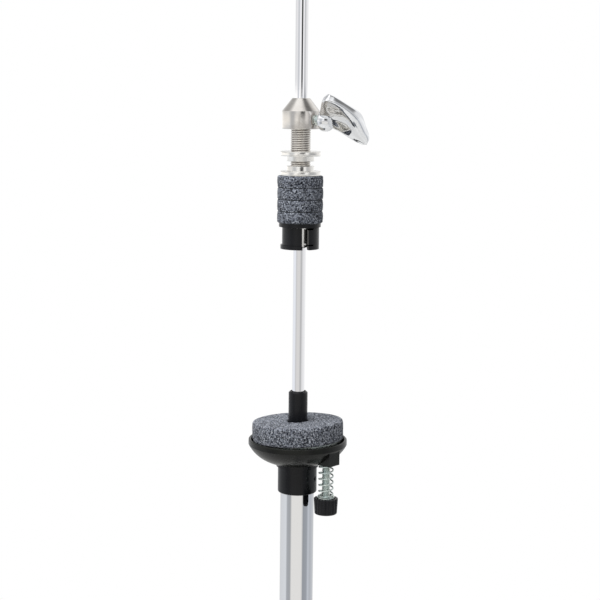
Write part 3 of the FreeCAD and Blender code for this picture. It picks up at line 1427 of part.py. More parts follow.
def build():
    base_casting()
    floor_pads()
    lower_tube()
    spring_seat()
    tension_ring()
    ear_collar("brace_collar", "brace_pivot", "brace_ear_t")
    pivot_pins("brace_pins", "brace_pivot", "brace_strip_out")
    ear_collar("leg_collar", "leg_pivot", "leg_ear_t", screw=True)
    pivot_pins("leg_pins", "leg_pivot", "leg_strip_out")
    for index in range(int(number("leg_count"))):
        leg(index)
        foot(index)
        brace(index)
    height_clamp()
    clamp_bushing()
    face = "clamp_r + screw_boss_out"
    wing_screw("height_wing", "tube_top - clamp_screw_drop", "clamp_azimuth", face, "post_r + 0.15")
    face = "collar_r + screw_boss_out"
    wing_screw("collar_wing", "leg_pivot", "clamp_azimuth", face, "lower_tube_r + 0.15")
    heel_plate()
    hinge_pin()
    link_rods()
    footboard()
    chain_pin()
    drive_chain()
    lower_rod()
    rod_coupling()
    pull_rod()
    return_spring()
    upper_tube()
    rod_guide()
    seat_hub()
    hub_screw()
    seat_bowl()
    seat_sleeve()
    tilt_plate()
    seat_felt()
    tilt_screw()
    tilt_knob()
    tilt_washer()
    tilt_spring()
    clutch_head()
    clutch_tube()
    clutch_shoe()
    wing_screw("clutch_wing", "head_mid", "clutch_azimuth", "head_r",
               "rod_r + shoe_gap + shoe_t + 0.05")
    clutch_nut("lower_nut", "clutch_felts_top", False)
    clutch_nut("upper_nut", "upper_nut_low", True)
    clutch_felts()
    release_core()
    release_sleeve()
    release_pins()
    jaw_h = "jaw_top - (release_low)"
    release_jaw("release_right", "", "slot_azimuth + 90", [("jaw_lip_r", jaw_h)], notched=True)
    release_jaw("release_left", "-", "slot_azimuth + 270",
                [("jaw_r", jaw_h), ("jaw_lip_r", "jaw_lip_h")])


def check():
    """Stops on any object in error and on any node that is not sound solid material."""
    for made in DOC.Objects:
        if {"Invalid", "Error"} & set(made.State):
            raise RuntimeError(f"{made.Label}: {made.State}")
    for made in NODES:
        if made.Shape.isNull() or not made.Shape.isValid() or not made.Shape.Solids:
            raise RuntimeError(f"{made.Label}: the shape is not valid")


def export():
    os.makedirs("parts", exist_ok=True)
    for made in NODES:
        made.Shape.exportStep(os.path.join("parts", made.Label + ".step"))
        print(f"{made.Label}: {len(made.Shape.Solids)} solids, {made.Shape.Volume:.0f} mm3")


fill_sheet()
build()
DOC.recompute()
check()
export()
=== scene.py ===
"""Looks of the hi-hat stand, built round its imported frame: a finish for every piece, and finer
meshes where the frame's own are plain. Everything is in metres, in the frame's axes."""
import json
import math

import bpy
from mathutils import Matrix, Vector, noise


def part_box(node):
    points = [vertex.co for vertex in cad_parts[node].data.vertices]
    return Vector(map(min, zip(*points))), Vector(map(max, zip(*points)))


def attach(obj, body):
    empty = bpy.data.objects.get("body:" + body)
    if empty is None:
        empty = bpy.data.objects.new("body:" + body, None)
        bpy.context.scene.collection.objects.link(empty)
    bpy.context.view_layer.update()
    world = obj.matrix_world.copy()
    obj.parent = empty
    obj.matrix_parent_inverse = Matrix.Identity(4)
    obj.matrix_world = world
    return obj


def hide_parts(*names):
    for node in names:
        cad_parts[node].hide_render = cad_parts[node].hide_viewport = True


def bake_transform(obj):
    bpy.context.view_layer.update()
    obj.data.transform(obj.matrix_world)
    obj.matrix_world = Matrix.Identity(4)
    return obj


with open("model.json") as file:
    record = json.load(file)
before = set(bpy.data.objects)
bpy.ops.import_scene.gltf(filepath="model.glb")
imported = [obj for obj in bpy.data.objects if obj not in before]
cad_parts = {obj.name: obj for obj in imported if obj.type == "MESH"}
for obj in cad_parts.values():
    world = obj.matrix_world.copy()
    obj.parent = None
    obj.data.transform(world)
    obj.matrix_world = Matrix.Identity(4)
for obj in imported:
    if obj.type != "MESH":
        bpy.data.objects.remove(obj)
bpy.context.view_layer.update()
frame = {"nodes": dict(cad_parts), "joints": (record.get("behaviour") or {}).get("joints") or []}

MM = 0.001
TAU = 2 * math.pi
ALONG_X = Matrix.Rotation(math.pi / 2, 4, "Y")
NODES = frame["nodes"]
JOINTS = {joint["name"]: joint for joint in frame["joints"]}

# ------------------------------------------------------------------ places read from the frame


def low(node):
    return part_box(node)[0].z


def high(node):
    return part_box(node)[1].z


def radius(node):
    """Half the wider side of a round, upright node."""
    corner_low, corner_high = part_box(node)
    return max(corner_high.x - corner_low.x, corner_high.y - corner_low.y) / 2


def joint_place(name):
    return Vector(JOINTS[name]["pos_m"])


def joint_axis(name):
    return Vector(JOINTS[name]["axis"]).normalized()


TILT_CENTRE = joint_place("tilt_plate_tilt")
REST_TILT = -math.radians(JOINTS["tilt_plate_tilt"]["range_deg"][0])
TILT = (Matrix.Translation(TILT_CENTRE)
        @ Matrix.Rotation(REST_TILT, 4, joint_axis("tilt_plate_tilt")))
FELT_H = 11 * MM
FELT_TOP = TILT_CENTRE.z + FELT_H / 2
CLUTCH_PITCH, CLUTCH_THREAD_DEPTH, CLUTCH_BORE = 1.25 * MM, 0.50 * MM, 3.6 * MM
STUD_PITCH, STUD_R, STUD_THREAD_DEPTH = 1.0 * MM, 2.98 * MM, 0.5 * MM
TILT_PITCH, TILT_SCREW_R, TILT_THREAD_DEPTH = 0.8 * MM, 2.38 * MM, 0.42 * MM
TILT_WIRE, TILT_COIL_R, TILT_TURNS = 0.85 * MM, 3.95 * MM, 6.5
RETURN_WIRE, RETURN_COIL_R, RETURN_TURNS = 1.8 * MM, 8.6 * MM, 14
# The turn of a wing about its screw from upright, in degrees.
WING_ROLL = 51.5

# ------------------------------------------------------------------ mesh helpers


def mesh_object(name, points, faces, sharp_angle):
    """A mesh in the frame's axes, shaded smooth except over edges sharper than the angle."""
    data = bpy.data.meshes.new(name)
    data.from_pydata([tuple(p) for p in points], [], faces)
    data.validate()
    made = bpy.data.objects.new(name, data)
    bpy.context.scene.collection.objects.link(made)
    data.shade_smooth()
    data.set_sharp_from_angle(angle=math.radians(sharp_angle))
    return made


def rounded(corners, radius, steps=5):
    """A closed outline with its corners rounded. A corner is (x, y), or (x, y, its own radius)."""
    outline = []
    count = len(corners)
    for i, corner in enumerate(corners):
        here = Vector(corner[:2])
        before = Vector(corners[i - 1][:2]) - here
        after = Vector(corners[(i + 1) % count][:2]) - here
        r = corner[2] if len(corner) == 3 else radius
        angle = before.angle(after)
        reach = min(r / max(math.tan(angle / 2), 1e-6), before.length * 0.45, after.length * 0.45)
        if reach < 1e-7:
            outline.append(here)
            continue
        start, end = here + before.normalized() * reach, here + after.normalized() * reach
        for step in range(steps + 1):
            t = step / steps
            outline.append(start * (1 - t) ** 2 + here * 2 * t * (1 - t) + end * t ** 2)
    return [(p.x, p.y) for p in outline]


def divided(outline, step):
    """The same closed outline with no run longer than step."""
    made = []
    for i, (x, y) in enumerate(outline):
        nx, ny = outline[(i + 1) % len(outline)]
        parts = max(1, math.ceil(math.hypot(nx - x, ny - y) / step))
        made += [(x + (nx - x) * k / parts, y + (ny - y) * k / parts) for k in range(parts)]
    return made


def ring_mesh(name, outline, steps=96, shape=None, sharp_angle=40):
    """A closed outline of (distance from the axis, height) turned about Z. shape(r, z, turn) may
    change the distance and the height from place to place."""
    count = len(outline)
    points = []
    for i in range(steps):
        turn = TAU * i / steps
        for r, z in outline:
            if shape:
                r, z = shape(r, z, turn)
            points.append((r * math.cos(turn), r * math.sin(turn), z))
    faces = []
    for i in range(steps):
        j = (i + 1) % steps
        for k in range(count):
            n = (k + 1) % count
            faces.append((i * count + k, j * count + k, j * count + n, i * count + n))
    return mesh_object(name, points, faces, sharp_angle)


def turned_mesh(name, profile, steps=96, shape=None, sharp_angle=40):
    """An open profile that starts and ends on the axis, turned about Z into a solid."""
    ends = (profile[0], profile[-1])
    inner = profile[1:-1]
    count = len(inner)
    points = [(0, 0, ends[0][1]), (0, 0, ends[1][1])]
    for i in range(steps):
        turn = TAU * i / steps
        for r, z in inner:
            if shape:
                r, z = shape(r, z, turn)
            points.append((r * math.cos(turn), r * math.sin(turn), z))
    faces = []
    for i in range(steps):
        a, b = 2 + i * count, 2 + (i + 1) % steps * count
        faces.append((0, b, a))
        faces.append((1, a + count - 1, b + count - 1))
        for k in range(count - 1):
            faces.append((a + k, b + k, b + k + 1, a + k + 1))
    return mesh_object(name, points, faces, sharp_angle)


def moved(piece, matrix):
    """The piece, with its mesh moved."""
    piece.data.transform(matrix)
    return piece


def tube_along(name, path, thickness, sides=12):
    """A round wire along a list of points, closed at both ends."""
    points, faces = [], []
    for i, here in enumerate(path):
        way = (path[min(i + 1, len(path) - 1)] - path[max(i - 1, 0)]).normalized()
        across = way.cross(Vector((0, 0, 1))).normalized()
        up = across.cross(way)
        for k in range(sides):
            turn = TAU * k / sides
            points.append(here + (across * math.cos(turn) + up * math.sin(turn)) * thickness / 2)
    for i in range(len(path) - 1):
        for k in range(sides):
            n = (k + 1) % sides
            a, b = i * sides, (i + 1) * sides
            faces.append((a + k, b + k, b + n, a + n))
    faces.append(tuple(range(sides)))
    last = (len(path) - 1) * sides
    faces.append(tuple(last + sides - 1 - k for k in range(sides)))
    return mesh_object(name, points, faces, 60)


def coil(name, centre, mean_radius, wire, turns, bottom, top, run=(0, 1), steps_a_turn=28):
    """A compression spring with closed end turns, or the run of it between two shares of its
    wire."""
    path = []
    closed_turns, even_share = 0.75, 0.06
    total = int(turns * steps_a_turn)
    for i in range(round(total * run[0]), round(total * run[1]) + 1):
        t = i / total
        turned = turns * t
        rise = min(max((turned - closed_turns) / (turns - 2 * closed_turns), 0), 1)
        rise = rise * (1 - even_share) + t * even_share
        z = bottom + wire / 2 + (top - bottom - wire) * rise
        angle = TAU * turned
        path.append(Vector((centre.x + mean_radius * math.cos(angle),
                            centre.y + mean_radius * math.sin(angle), z)))
    return tube_along(name, path, wire)


def threaded_tube(name, outer, bore, pitch, depth, bottom, top, steps=56, rows=7):
    """A tube with an outside thread, blunt at both ends."""
    outline = []
    count = int((top - bottom) / pitch * rows)
    for i in range(count + 1):
        outline.append((outer, bottom + (top - bottom) * i / count))
    outline += [(bore, top), (bore, bottom)]

    def shape(r, z, turn):
        if r < outer:
            return r, z
        phase = (z - bottom) / pitch - turn / TAU
        cut = abs((phase % 1) - 0.5) * 2
        fade = min((z - bottom) / pitch, (top - z) / pitch, 1)
        return r - depth * min(max(1.7 * cut - 0.6, 0), 1) * max(fade, 0.3), z

    return ring_mesh(name, outline, steps, shape, 75)


def threaded_rod(name, outer, pitch, depth, length, steps=32, rows=7):
    """A threaded stud along +Z from the origin, chamfered at the far end."""
    count = int(length / pitch * rows)
    profile = [(0, 0), (outer - 1.3 * depth, 0)]
    profile += [(outer, length * i / count) for i in range(1, count)]
    profile += [(outer - 1.3 * depth, length), (0, length)]

    def shape(r, z, turn):
        if r < outer:
            return r, z
        cut = abs(((z / pitch - turn / TAU) % 1) - 0.5) * 2
        return r - depth * min(1.25 * cut, 1), z

    return turned_mesh(name, profile, steps, shape, 75)


# ------------------------------------------------------------------ material helpers


class Finish:
    """A material being made: its nodes, and short ways to add the ones that finishes share."""

    def __init__(self, name):
        self.material = bpy.data.materials.new(name)
        self.material.use_nodes = True
        self.tree = self.material.node_tree
        self.shader = self.tree.nodes["Principled BSDF"]
        self.place = self.node("ShaderNodeTexCoord").outputs["Object"]

    def node(self, kind, **settings):
        """A new node of this material with the given settings."""
        made = self.tree.nodes.new(kind)
        for key, value in settings.items():
            setattr(made, key, value)
        return made

    def link(self, source, target):
        self.tree.links.new(source, target)

    def set(self, **values):
        """Constants on the shader's own sockets."""
        names = {"metallic": "Metallic", "roughness": "Roughness", "sheen": "Sheen Weight",
                 "sheen_roughness": "Sheen Roughness", "coat": "Coat Weight",
                 "coat_roughness": "Coat Roughness", "specular": "Specular IOR Level"}
        for key, value in values.items():
            self.shader.inputs[names[key]].default_value = value
        return self

    def colour(self, rgb):
        """One base colour, for a metal whose looks come from its gloss and its relief."""
        self.shader.inputs["Base Color"].default_value = (*rgb, 1)
        return self

    def stretched(self, scale):
        """The object's coordinates, in metres, scaled differently along each axis."""
        mapping = self.node("ShaderNodeMapping")
        mapping.inputs["Scale"].default_value = scale
        self.link(self.place, mapping.inputs["Vector"])
        return mapping.outputs["Vector"]

    def noise(self, size, detail=4, roughness=0.6, stretch=(1, 1, 1), distortion=0):
        """Noise with features about size metres across, lengthened along axes of small stretch."""
        made = self.node("ShaderNodeTexNoise")
        made.inputs["Scale"].default_value = 1
        made.inputs["Detail"].default_value = detail
        made.inputs["Roughness"].default_value = roughness
        made.inputs["Distortion"].default_value = distortion
        self.link(self.stretched([s / size for s in stretch]), made.inputs["Vector"])
        return made.outputs["Fac"]

    def ramp(self, value, stops):
        """Colours or greys along a value. A stop is (place, colour or grey)."""
        made = self.node("ShaderNodeValToRGB")
        ends = made.color_ramp.elements
        for i, (place, shade) in enumerate(stops):
            rgb = (shade,) * 3 if isinstance(shade, (int, float)) else shade
            element = ends[i] if i < 2 else ends.new(place)
            element.position = place
            element.color = (*rgb, 1)
        self.link(value, made.inputs["Fac"])
        return made.outputs["Color"]

    def mix(self, factor, a, b, kind="MIX"):
        """Two colours mixed. Each of factor, a and b is a constant or another node's output."""
        made = self.node("ShaderNodeMix", data_type="RGBA", blend_type=kind)
        for socket, value in (("Factor", factor), ("A", a), ("B", b)):
            target = next(s for s in made.inputs if s.name == socket and s.enabled)
            if isinstance(value, (int, float)):
                target.default_value = value
            elif isinstance(value, tuple):
                target.default_value = (*value, 1)
            else:
                self.link(value, target)
        return next(s for s in made.outputs if s.enabled)

    def base(self, output):
        """The base colour taken from a node."""
        self.link(output, self.shader.inputs["Base Color"])

    def rough(self, output):
        """The roughness taken from a node."""
        self.link(output, self.shader.inputs["Roughness"])

    def bump(self, output, height, after=None):
        """Bump from a value between 0 and 1 that stands for a height in metres."""
        made = self.node("ShaderNodeBump")
        made.inputs["Distance"].default_value = height
        made.inputs["Strength"].default_value = 1
        self.link(output, made.inputs["Height"])
        if after:
            self.link(after, made.inputs["Normal"])
        self.link(made.outputs["Normal"], self.shader.inputs["Normal"])
        return made.outputs["Normal"]


# ------------------------------------------------------------------ finishes


def chrome_finish(name="chrome", tint=(0.83, 0.84, 0.86), smudge=0.05):
    """Polished chrome plate: nearly a mirror, with faint wiped smudges."""
    made = Finish(name).colour(tint).set(metallic=1.0)
    wipes = made.noise(14 * MM, detail=3, stretch=(1, 1, 0.35))
    made.rough(made.ramp(wipes, [(0.35, 0.03), (0.75, 0.03 + smudge)]))
    made.bump(made.noise(6 * MM, detail=2), 0.004 * MM)
    return made.material


def turned_finish():
    """Satin stainless turned on a lathe: fine rings round it and a warm cast."""
    made = Finish("turned_steel").set(metallic=1.0)
    tone = made.noise(7 * MM, detail=3, stretch=(0.6, 0.6, 1.6))
    made.base(made.ramp(tone, [(0.3, (0.60, 0.57, 0.54)), (0.7, (0.70, 0.68, 0.65))]))
    rings = made.noise(0.25 * MM, detail=3, roughness=0.7, stretch=(0.02, 0.02, 1))
    made.rough(made.ramp(rings, [(0.25, 0.11), (0.75, 0.19)]))
    made.bump(rings, 0.006 * MM)
    return made.material


def thread_finish():
    """Cut steel thread, with painted shade darkening it down in its grooves."""
    made = Finish("thread_steel").set(metallic=1.0)
    groove_shade = made.node("ShaderNodeNewGeometry").outputs["Pointiness"]
    # Painted shade: the colour goes dark where the surface is hollow, down in the thread's grooves.
    tone = made.ramp(groove_shade, [(0.40, (0.13, 0.12, 0.11)), (0.53, (0.70, 0.67, 0.63))])
    made.base(tone)
    made.rough(made.ramp(made.noise(1.5 * MM), [(0.3, 0.12), (0.7, 0.24)]))
    return made.material


def zinc_finish():
    """Bright zinc plate with a faint green-blue passivation."""
    made = Finish("bright_zinc").set(metallic=1.0)
    tint = (0.66, 0.70, 0.66)
    cloud = made.noise(4 * MM, detail=5)
    cool = tuple(c * f for c, f in zip(tint, (0.82, 0.92, 0.98)))
    made.base(made.ramp(cloud, [(0.35, tint), (0.7, cool)]))
    made.rough(made.ramp(made.noise(1.2 * MM), [(0.3, 0.18), (0.7, 0.38)]))
    made.bump(made.noise(0.8 * MM), 0.01 * MM)
    return made.material


def nut_finish():
    """Bright nickel plate, slightly warm."""
    made = Finish("bright_nickel").set(metallic=1.0)
    cloud = made.noise(6 * MM)
    made.base(made.ramp(cloud, [(0.3, (0.80, 0.78, 0.75)), (0.7, (0.88, 0.87, 0.84))]))
    made.rough(made.ramp(made.noise(2 * MM), [(0.3, 0.10), (0.7, 0.20)]))
    made.bump(made.noise(0.3 * MM, stretch=(0.05, 0.05, 1)), 0.004 * MM)
    return made.material


def plastic_finish(name="moulded_black", tone=0.0022, rough=(0.20, 0.30), grain=0.35 * MM):
    """Black moulded nylon: an even fine grain and a soft gloss."""
    made = Finish(name).set(specular=0.26)
    patch = made.noise(9 * MM, detail=3)
    made.base(made.ramp(patch, [(0.3, (tone, tone * 1.1, tone * 1.5)),
                                (0.75, (tone * 1.8, tone * 1.9, tone * 2.6))]))
    made.rough(made.ramp(made.noise(2.5 * MM), [(0.3, rough[0]), (0.7, rough[1])]))
    made.bump(made.noise(grain, detail=2), 0.006 * MM)
    return made.material


def powder_finish():
    """Satin black powder coat on the bowl, with a light orange peel."""
    made = Finish("powder_black").set(specular=0.20, coat=0.05, coat_roughness=0.15)
    made.base(made.ramp(made.noise(8 * MM), [(0.3, (0.003, 0.003, 0.003)),
                                             (0.75, (0.007, 0.008, 0.006))]))
    made.rough(made.ramp(made.noise(1.6 * MM), [(0.3, 0.20), (0.7, 0.30)]))
    made.bump(made.noise(1.1 * MM, detail=2), 0.012 * MM)
    return made.material


def felt_finish(name, dark, light, fleck):
    """Pressed wool felt: dark blue-grey wool flecked with short light fibres."""
    made = Finish(name).set(roughness=0.95, specular=0.06, sheen=0.05, sheen_roughness=0.6)
    wool = made.noise(1.0 * MM, detail=2, roughness=0.6, distortion=0.25)
    between = tuple(0.6 * a + 0.4 * b for a, b in zip(dark, light))
    tone = made.ramp(wool, [(0.455, dark), (0.50, between), (0.545, light)])
    sparks = made.noise(0.7 * MM, detail=2, roughness=0.6, distortion=0.5)
    tone = made.mix(made.ramp(sparks, [(0.57, 0.0), (0.61, 1.0)]), tone, fleck)
    threads = made.noise(0.9 * MM, detail=2, roughness=0.6, stretch=(1.8, 0.4, 0.9), distortion=0.8)
    thread_tone = tuple(0.8 * c for c in fleck)
    tone = made.mix(made.ramp(threads, [(0.59, 0.0), (0.63, 0.85)]), tone, thread_tone)
    pits = made.ramp(made.noise(1.2 * MM, detail=3), [(0.40, 0.36), (0.48, 1.0)])
    made.base(made.mix(1.0, tone, pits, "MULTIPLY"))
    nap = made.bump(wool, 0.40 * MM)
    made.bump(sparks, 0.20 * MM, after=nap)
    return made.material


def cast_finish():
    """Satin silver paint over sand-blasted castings, lighter on its edges from wear and a painted
    highlight, darker in its hollows from painted shade.
    """
    made = Finish("cast_silver").set(metallic=0.85)
    edge = made.node("ShaderNodeNewGeometry").outputs["Pointiness"]
    # Painted light: edges are coloured lighter, partly as wear and partly as a painted highlight,
    # and hollows darker as painted shade.
    wear_highlight_and_hollow_shade = made.ramp(edge, [(0.49, (0.40, 0.41, 0.42)), (0.56, (0.62, 0.62, 0.63))])
    cloud = made.ramp(made.noise(18 * MM), [(0.3, 0.86), (0.7, 1.0)])
    made.base(made.mix(1.0, wear_highlight_and_hollow_shade, cloud, "MULTIPLY"))
    made.rough(made.ramp(made.noise(3 * MM), [(0.3, 0.34), (0.7, 0.5)]))
    made.bump(made.noise(0.7 * MM, detail=3), 0.04 * MM)
    return made.material


def tread_finish():
    """Brushed aluminium of the footboard and the heel plate, scuffed by shoes."""
    made = Finish("brushed_tread").set(metallic=1.0)
    brush = made.noise(0.9 * MM, detail=4, stretch=(1, 0.02, 1))
    made.base(made.ramp(brush, [(0.3, (0.50, 0.50, 0.51)), (0.7, (0.68, 0.68, 0.69))]))
    scuffs = made.noise(22 * MM, detail=6, roughness=0.7)
    made.rough(made.ramp(scuffs, [(0.35, 0.26), (0.7, 0.52)]))
    made.bump(brush, 0.02 * MM)
    return made.material


def rubber_finish():
    """Matt black rubber with a dusty bloom in patches."""
    made = Finish("rubber").set(specular=0.3)
    dust = made.noise(10 * MM, detail=6, roughness=0.7)
    made.base(made.ramp(dust, [(0.4, (0.014, 0.014, 0.014)), (0.75, (0.045, 0.043, 0.040))]))
    made.rough(made.ramp(dust, [(0.3, 0.62), (0.8, 0.88)]))
    made.bump(made.noise(0.9 * MM, detail=4), 0.06 * MM)
    return made.material


def spring_finish():
    """Drawn spring steel, dark with a thin film of oil."""
    made = Finish("spring_steel").set(metallic=1.0)
    made.base(made.ramp(made.noise(3 * MM), [(0.3, (0.34, 0.33, 0.32)), (0.7, (0.48, 0.47, 0.45))]))
    made.rough(made.ramp(made.noise(1 * MM), [(0.3, 0.22), (0.7, 0.4)]))
    made.bump(made.noise(0.3 * MM), 0.005 * MM)
    return made.material


CHROME = chrome_finish()
ROD_CHROME = chrome_finish("rod_chrome", (0.93, 0.93, 0.95), 0.02)
TURNED = turned_finish()
THREAD = thread_finish()
ZINC = zinc_finish()
NICKEL = nut_finish()
PLASTIC = plastic_finish()
POWDER = powder_finish()
SIDE_FELT = felt_finish("clutch_felt", (0.009, 0.011, 0.017), (0.105, 0.116, 0.142),
                        (0.30, 0.32, 0.36))
SEAT_FELT = felt_finish("seat_felt_wool", (0.009, 0.011, 0.017), (0.115, 0.125, 0.150),
                        (0.36, 0.38, 0.42))
BLACKENED = plastic_finish("black_oxide_steel", 0.010, (0.30, 0.42), 0.2 * MM)
CAST = cast_finish()
TREAD = tread_finish()
RUBBER = rubber_finish()
SPRING = spring_finish()

NODE_FINISH = {
    CAST: ["base_casting", "brace_collar", "leg_collar", "tension_ring"],
    TREAD: ["footboard", "heel_plate"],
    RUBBER: ["floor_pads", "foot_1", "foot_2", "foot_3"],
    CHROME: ["lower_tube", "upper_tube", "height_clamp", "leg_1", "leg_2", "leg_3",
             "brace_1", "brace_2", "brace_3"],
    ZINC: ["brace_pins", "leg_pins", "hinge_pin", "chain_pin", "link_rods", "spring_seat",
           "tilt_plate", "tilt_washer", "release_pins", "clutch_shoe"],
    BLACKENED: ["hub_screw"],
    SPRING: ["rod_coupling", "lower_rod", "drive_chain"],
    ROD_CHROME: ["pull_rod"],
    PLASTIC: ["clamp_bushing", "rod_guide", "seat_hub", "seat_sleeve", "release_core",
              "release_left", "release_right"],
    POWDER: ["seat_bowl"],
    TURNED: ["clutch_head"],
    NICKEL: ["upper_nut", "lower_nut", "release_sleeve"],
}


def dress(piece, material):
    """Gives a piece one finish in place of what it had."""
    piece.data.materials.clear()
    piece.data.materials.append(material)
    return piece


def dress_nodes():
    """Gives each node of the frame its finish, and smooth shading on its round faces."""
    for material, names in NODE_FINISH.items():
        for name in names:
            node = dress(NODES[name], material)
            node.data.shade_smooth()
            node.data.set_sharp_from_angle(angle=math.radians(28))


def stand_for(piece, body, slot, material, *nodes):
    """Finishes a piece that replaces nodes of the frame. It moves with one body, or with none."""
    dress(piece, material)
    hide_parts(*nodes)
    if body:
        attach(piece, body)


# ------------------------------------------------------------------ felts


def felt_ring(name, outer, bore, bottom, top, bulge, seed, corner=1.0 * MM):
    """A felt washer: crowned side, soft corners and an uneven, fibrous surface."""
    outline = rounded([(bore, bottom), (outer, bottom, corner), (outer, top, corner), (bore, top)],
                      0.3 * MM)
    outline = divided(outline, 0.45 * MM)
    middle, half = (bottom + top) / 2, (top - bottom) / 2
    offset = Vector((seed * 3.7, seed * 1.9, seed * 5.3))

    def shape(r, z, turn):
        out = (r - bore) / (outer - bore)
        across = (z - middle) / half
        here = Vector((r * math.cos(turn), r * math.sin(turn), z))
        lumps = noise.noise((here + offset) / (4.5 * MM))
        nap = noise.noise((here - offset) / (0.9 * MM))
        nap += 0.6 * noise.noise((here + offset) / (0.45 * MM))
        crown = bulge * max(0, 1 - across ** 2) * out ** 4
        if out > 0.02:
            r += crown + (0.14 * lumps + 0.10 * nap) * MM * out - 0.12 * MM * out
        z -= across * (0.10 + 0.08 * lumps + 0.07 * nap) * MM
        return r, z

    return ring_mesh(name, outline, int(TAU * outer / (0.55 * MM)), shape, 180)


def felts():
    """The seat felt on its tilting plate, and the two pairs of clutch felts."""
    seat = felt_ring("seat_felt_disc", 25.8 * MM, 6.2 * MM, -FELT_H / 2, FELT_H / 2, 0.15 * MM, 1,
                     1.1 * MM)
    moved(seat, TILT)
    stand_for(seat, "tilt_plate", "felt_grey", SEAT_FELT, "seat_felt")
    for node, body, first in (("lower_felts", "quick_release", 2), ("upper_felts", "clutch", 4)):
        bottom, top = low(node), high(node)
        middle = (bottom + top) / 2
        for index, (a, b) in enumerate(((bottom, middle), (middle, top))):
            felt = felt_ring(f"clutch_felt_{first - 1 + index}", radius(node) - 0.05 * MM, 6.0 * MM,
                             a, b, 0.22 * MM, first + index, 0.6 * MM)
            stand_for(felt, body, "felt_grey", SIDE_FELT, node)


# ------------------------------------------------------------------ clutch


def clutch_threads():
    """The tube that carries the felts and the nuts, threaded all along."""
    threads = threaded_tube("clutch_thread", radius("clutch_tube") - 0.02 * MM, CLUTCH_BORE,
                            CLUTCH_PITCH, CLUTCH_THREAD_DEPTH, low("clutch_tube"),
                            high("clutch_tube"))
    stand_for(threads, "clutch", "steel_satin", THREAD, "clutch_tube")


def clutch_head():
    """Straight part and cone with crisp, slightly broken edges."""
    bottom, top = low("clutch_head"), high("clutch_head")
    outer = radius("clutch_head")
    shoulder, recess = bottom + 9.8 * MM, bottom + 1.5 * MM
    rod_bore, tube_bore = 3.62 * MM, 5.62 * MM
    outline = rounded([
        (tube_bore, bottom), (outer, bottom, 0.5 * MM), (outer, shoulder, 0.25 * MM),
        (4.9 * MM, top, 0.4 * MM), (rod_bore, top), (rod_bore, recess), (tube_bore, recess)],
        0.1 * MM)
    head = ring_mesh("clutch_head_turned", outline, 160, None, 30)
    stand_for(head, "clutch", "steel_satin", TURNED, "clutch_head")


def nut(node):
    """A round flanged nut, its flange above or below as on the frame's own."""
    bottom, top = low(node), high(node)
    outer, body, bore = radius(node), 7.7 * MM, 5.66 * MM
    flange = 2.5 * MM
    if node == "upper_nut":
        corners = [(bore, bottom), (body, bottom), (body, top - flange), (outer, top - flange),
                   (outer, top), (bore, top)]
    else:
        corners = [(bore, bottom), (outer, bottom), (outer, bottom + flange),
                   (body, bottom + flange), (body, top), (bore, top)]
    made = ring_mesh(node + "_turned", rounded(corners, 0.35 * MM), 128, None, 35)
    stand_for(made, node, "chrome", NICKEL, node)


# Edges of a wing along its span, which runs both ways from the screw: place along the span, near
# edge and far edge along the screw from the start of the wing.
WING_SHAPE = (
    (-16.8, 21.4, 22.6), (-16.2, 18.6, 23.8), (-15.0, 16.2, 24.6), (-12.8, 13.8, 25.2),
    (-10.0, 11.4, 25.4), (-7.0, 8.6, 25.4), (-3.6, 3.8, 25.8), (0.0, 1.5, 26.2), (4.0, 1.8, 26.4),
    (8.0, 3.6, 25.4), (12.0, 6.2, 23.4), (16.0, 8.6, 21.4), (20.0, 11.2, 19.2), (21.6, 13.0, 17.8),
    (22.2, 15.0, 16.0))


def bell(x, width):
    """A smooth hump, 1 at x = 0."""
    return math.exp(-(x / width) ** 2)


def wing_edges(w):
    """The wing's near and far edge at a place along its span, in millimetres."""
    i = next((k for k in range(1, len(WING_SHAPE)) if w <= WING_SHAPE[k][0]), len(WING_SHAPE) - 1)
    a, b = WING_SHAPE[i - 1], WING_SHAPE[i]
    t = (w - a[0]) / (b[0] - a[0])
    return tuple(a[k] + (b[k] - a[k]) * t for k in (1, 2))


def wing_mesh(name, start, stations=109, sides=72):
    """A die-cast wing along +X from start, its span along Z and its thickness along Y. It is thick
    at its outer end and over the screw, with a thumb scoop in the face towards -Y, and its lobes
    curl that way."""
    first, last = WING_SHAPE[0][0], WING_SHAPE[-1][0]
    squareness = 3.4
    points, faces = [], []
    for i in range(stations):
        s = math.sin(math.pi / 2 * (-1 + 2 * i / (stations - 1)))
        w = (first + last) / 2 + s * (last - first) / 2
        spots = [wing_edges(max(first, min(last, w + d))) for d in (-1.0, -0.5, 0, 0.5, 1.0)]
        near, far = (sum(spot[k] for spot in spots) / len(spots) for k in (0, 1))
        middle, half_width = (near + far) / 2, (far - near) / 2
        thin = 2.9 - 0.6 * abs(s) ** 3
        curl = -1.5 * abs(s) ** 2.2
        for k in range(sides):
            turn = TAU * k / sides
            c, n = math.cos(turn), math.sin(turn)
            square = (abs(c) ** squareness + abs(n) ** squareness) ** (-1 / squareness)
            x, y = c * square, n * square
            along = middle + x * half_width
            rise = min(max((along - 17.5) / 7, 0), 1)
            cap = 1.7 * rise * rise * (3 - 2 * rise) * bell(w, 9)
            barrel = 2.6 * bell(w, 4.8) * (1 - 0.6 * rise)
            scoop = 1.6 * bell(w - 0.5, 7) * bell(along - 12.5, 7)
            dish = (0.9 if y < 0 else 0.3) * bell(abs(w) - 14, 5.5) * bell(x, 0.75)
            half = thin + cap - dish + (barrel if y > 0 else -scoop)
            points.append(((start + along * MM), (y * half + curl) * MM, w * MM))
    for i in range(stations - 1):
        a, b = i * sides, (i + 1) * sides
        for k in range(sides):
            n = (k + 1) % sides
            faces.append((a + k, a + n, b + n, b + k))
    faces.append(tuple(reversed(range(sides))))
    end = (stations - 1) * sides
    faces.append(tuple(end + k for k in range(sides)))
    return mesh_object(name, points, faces, 60)


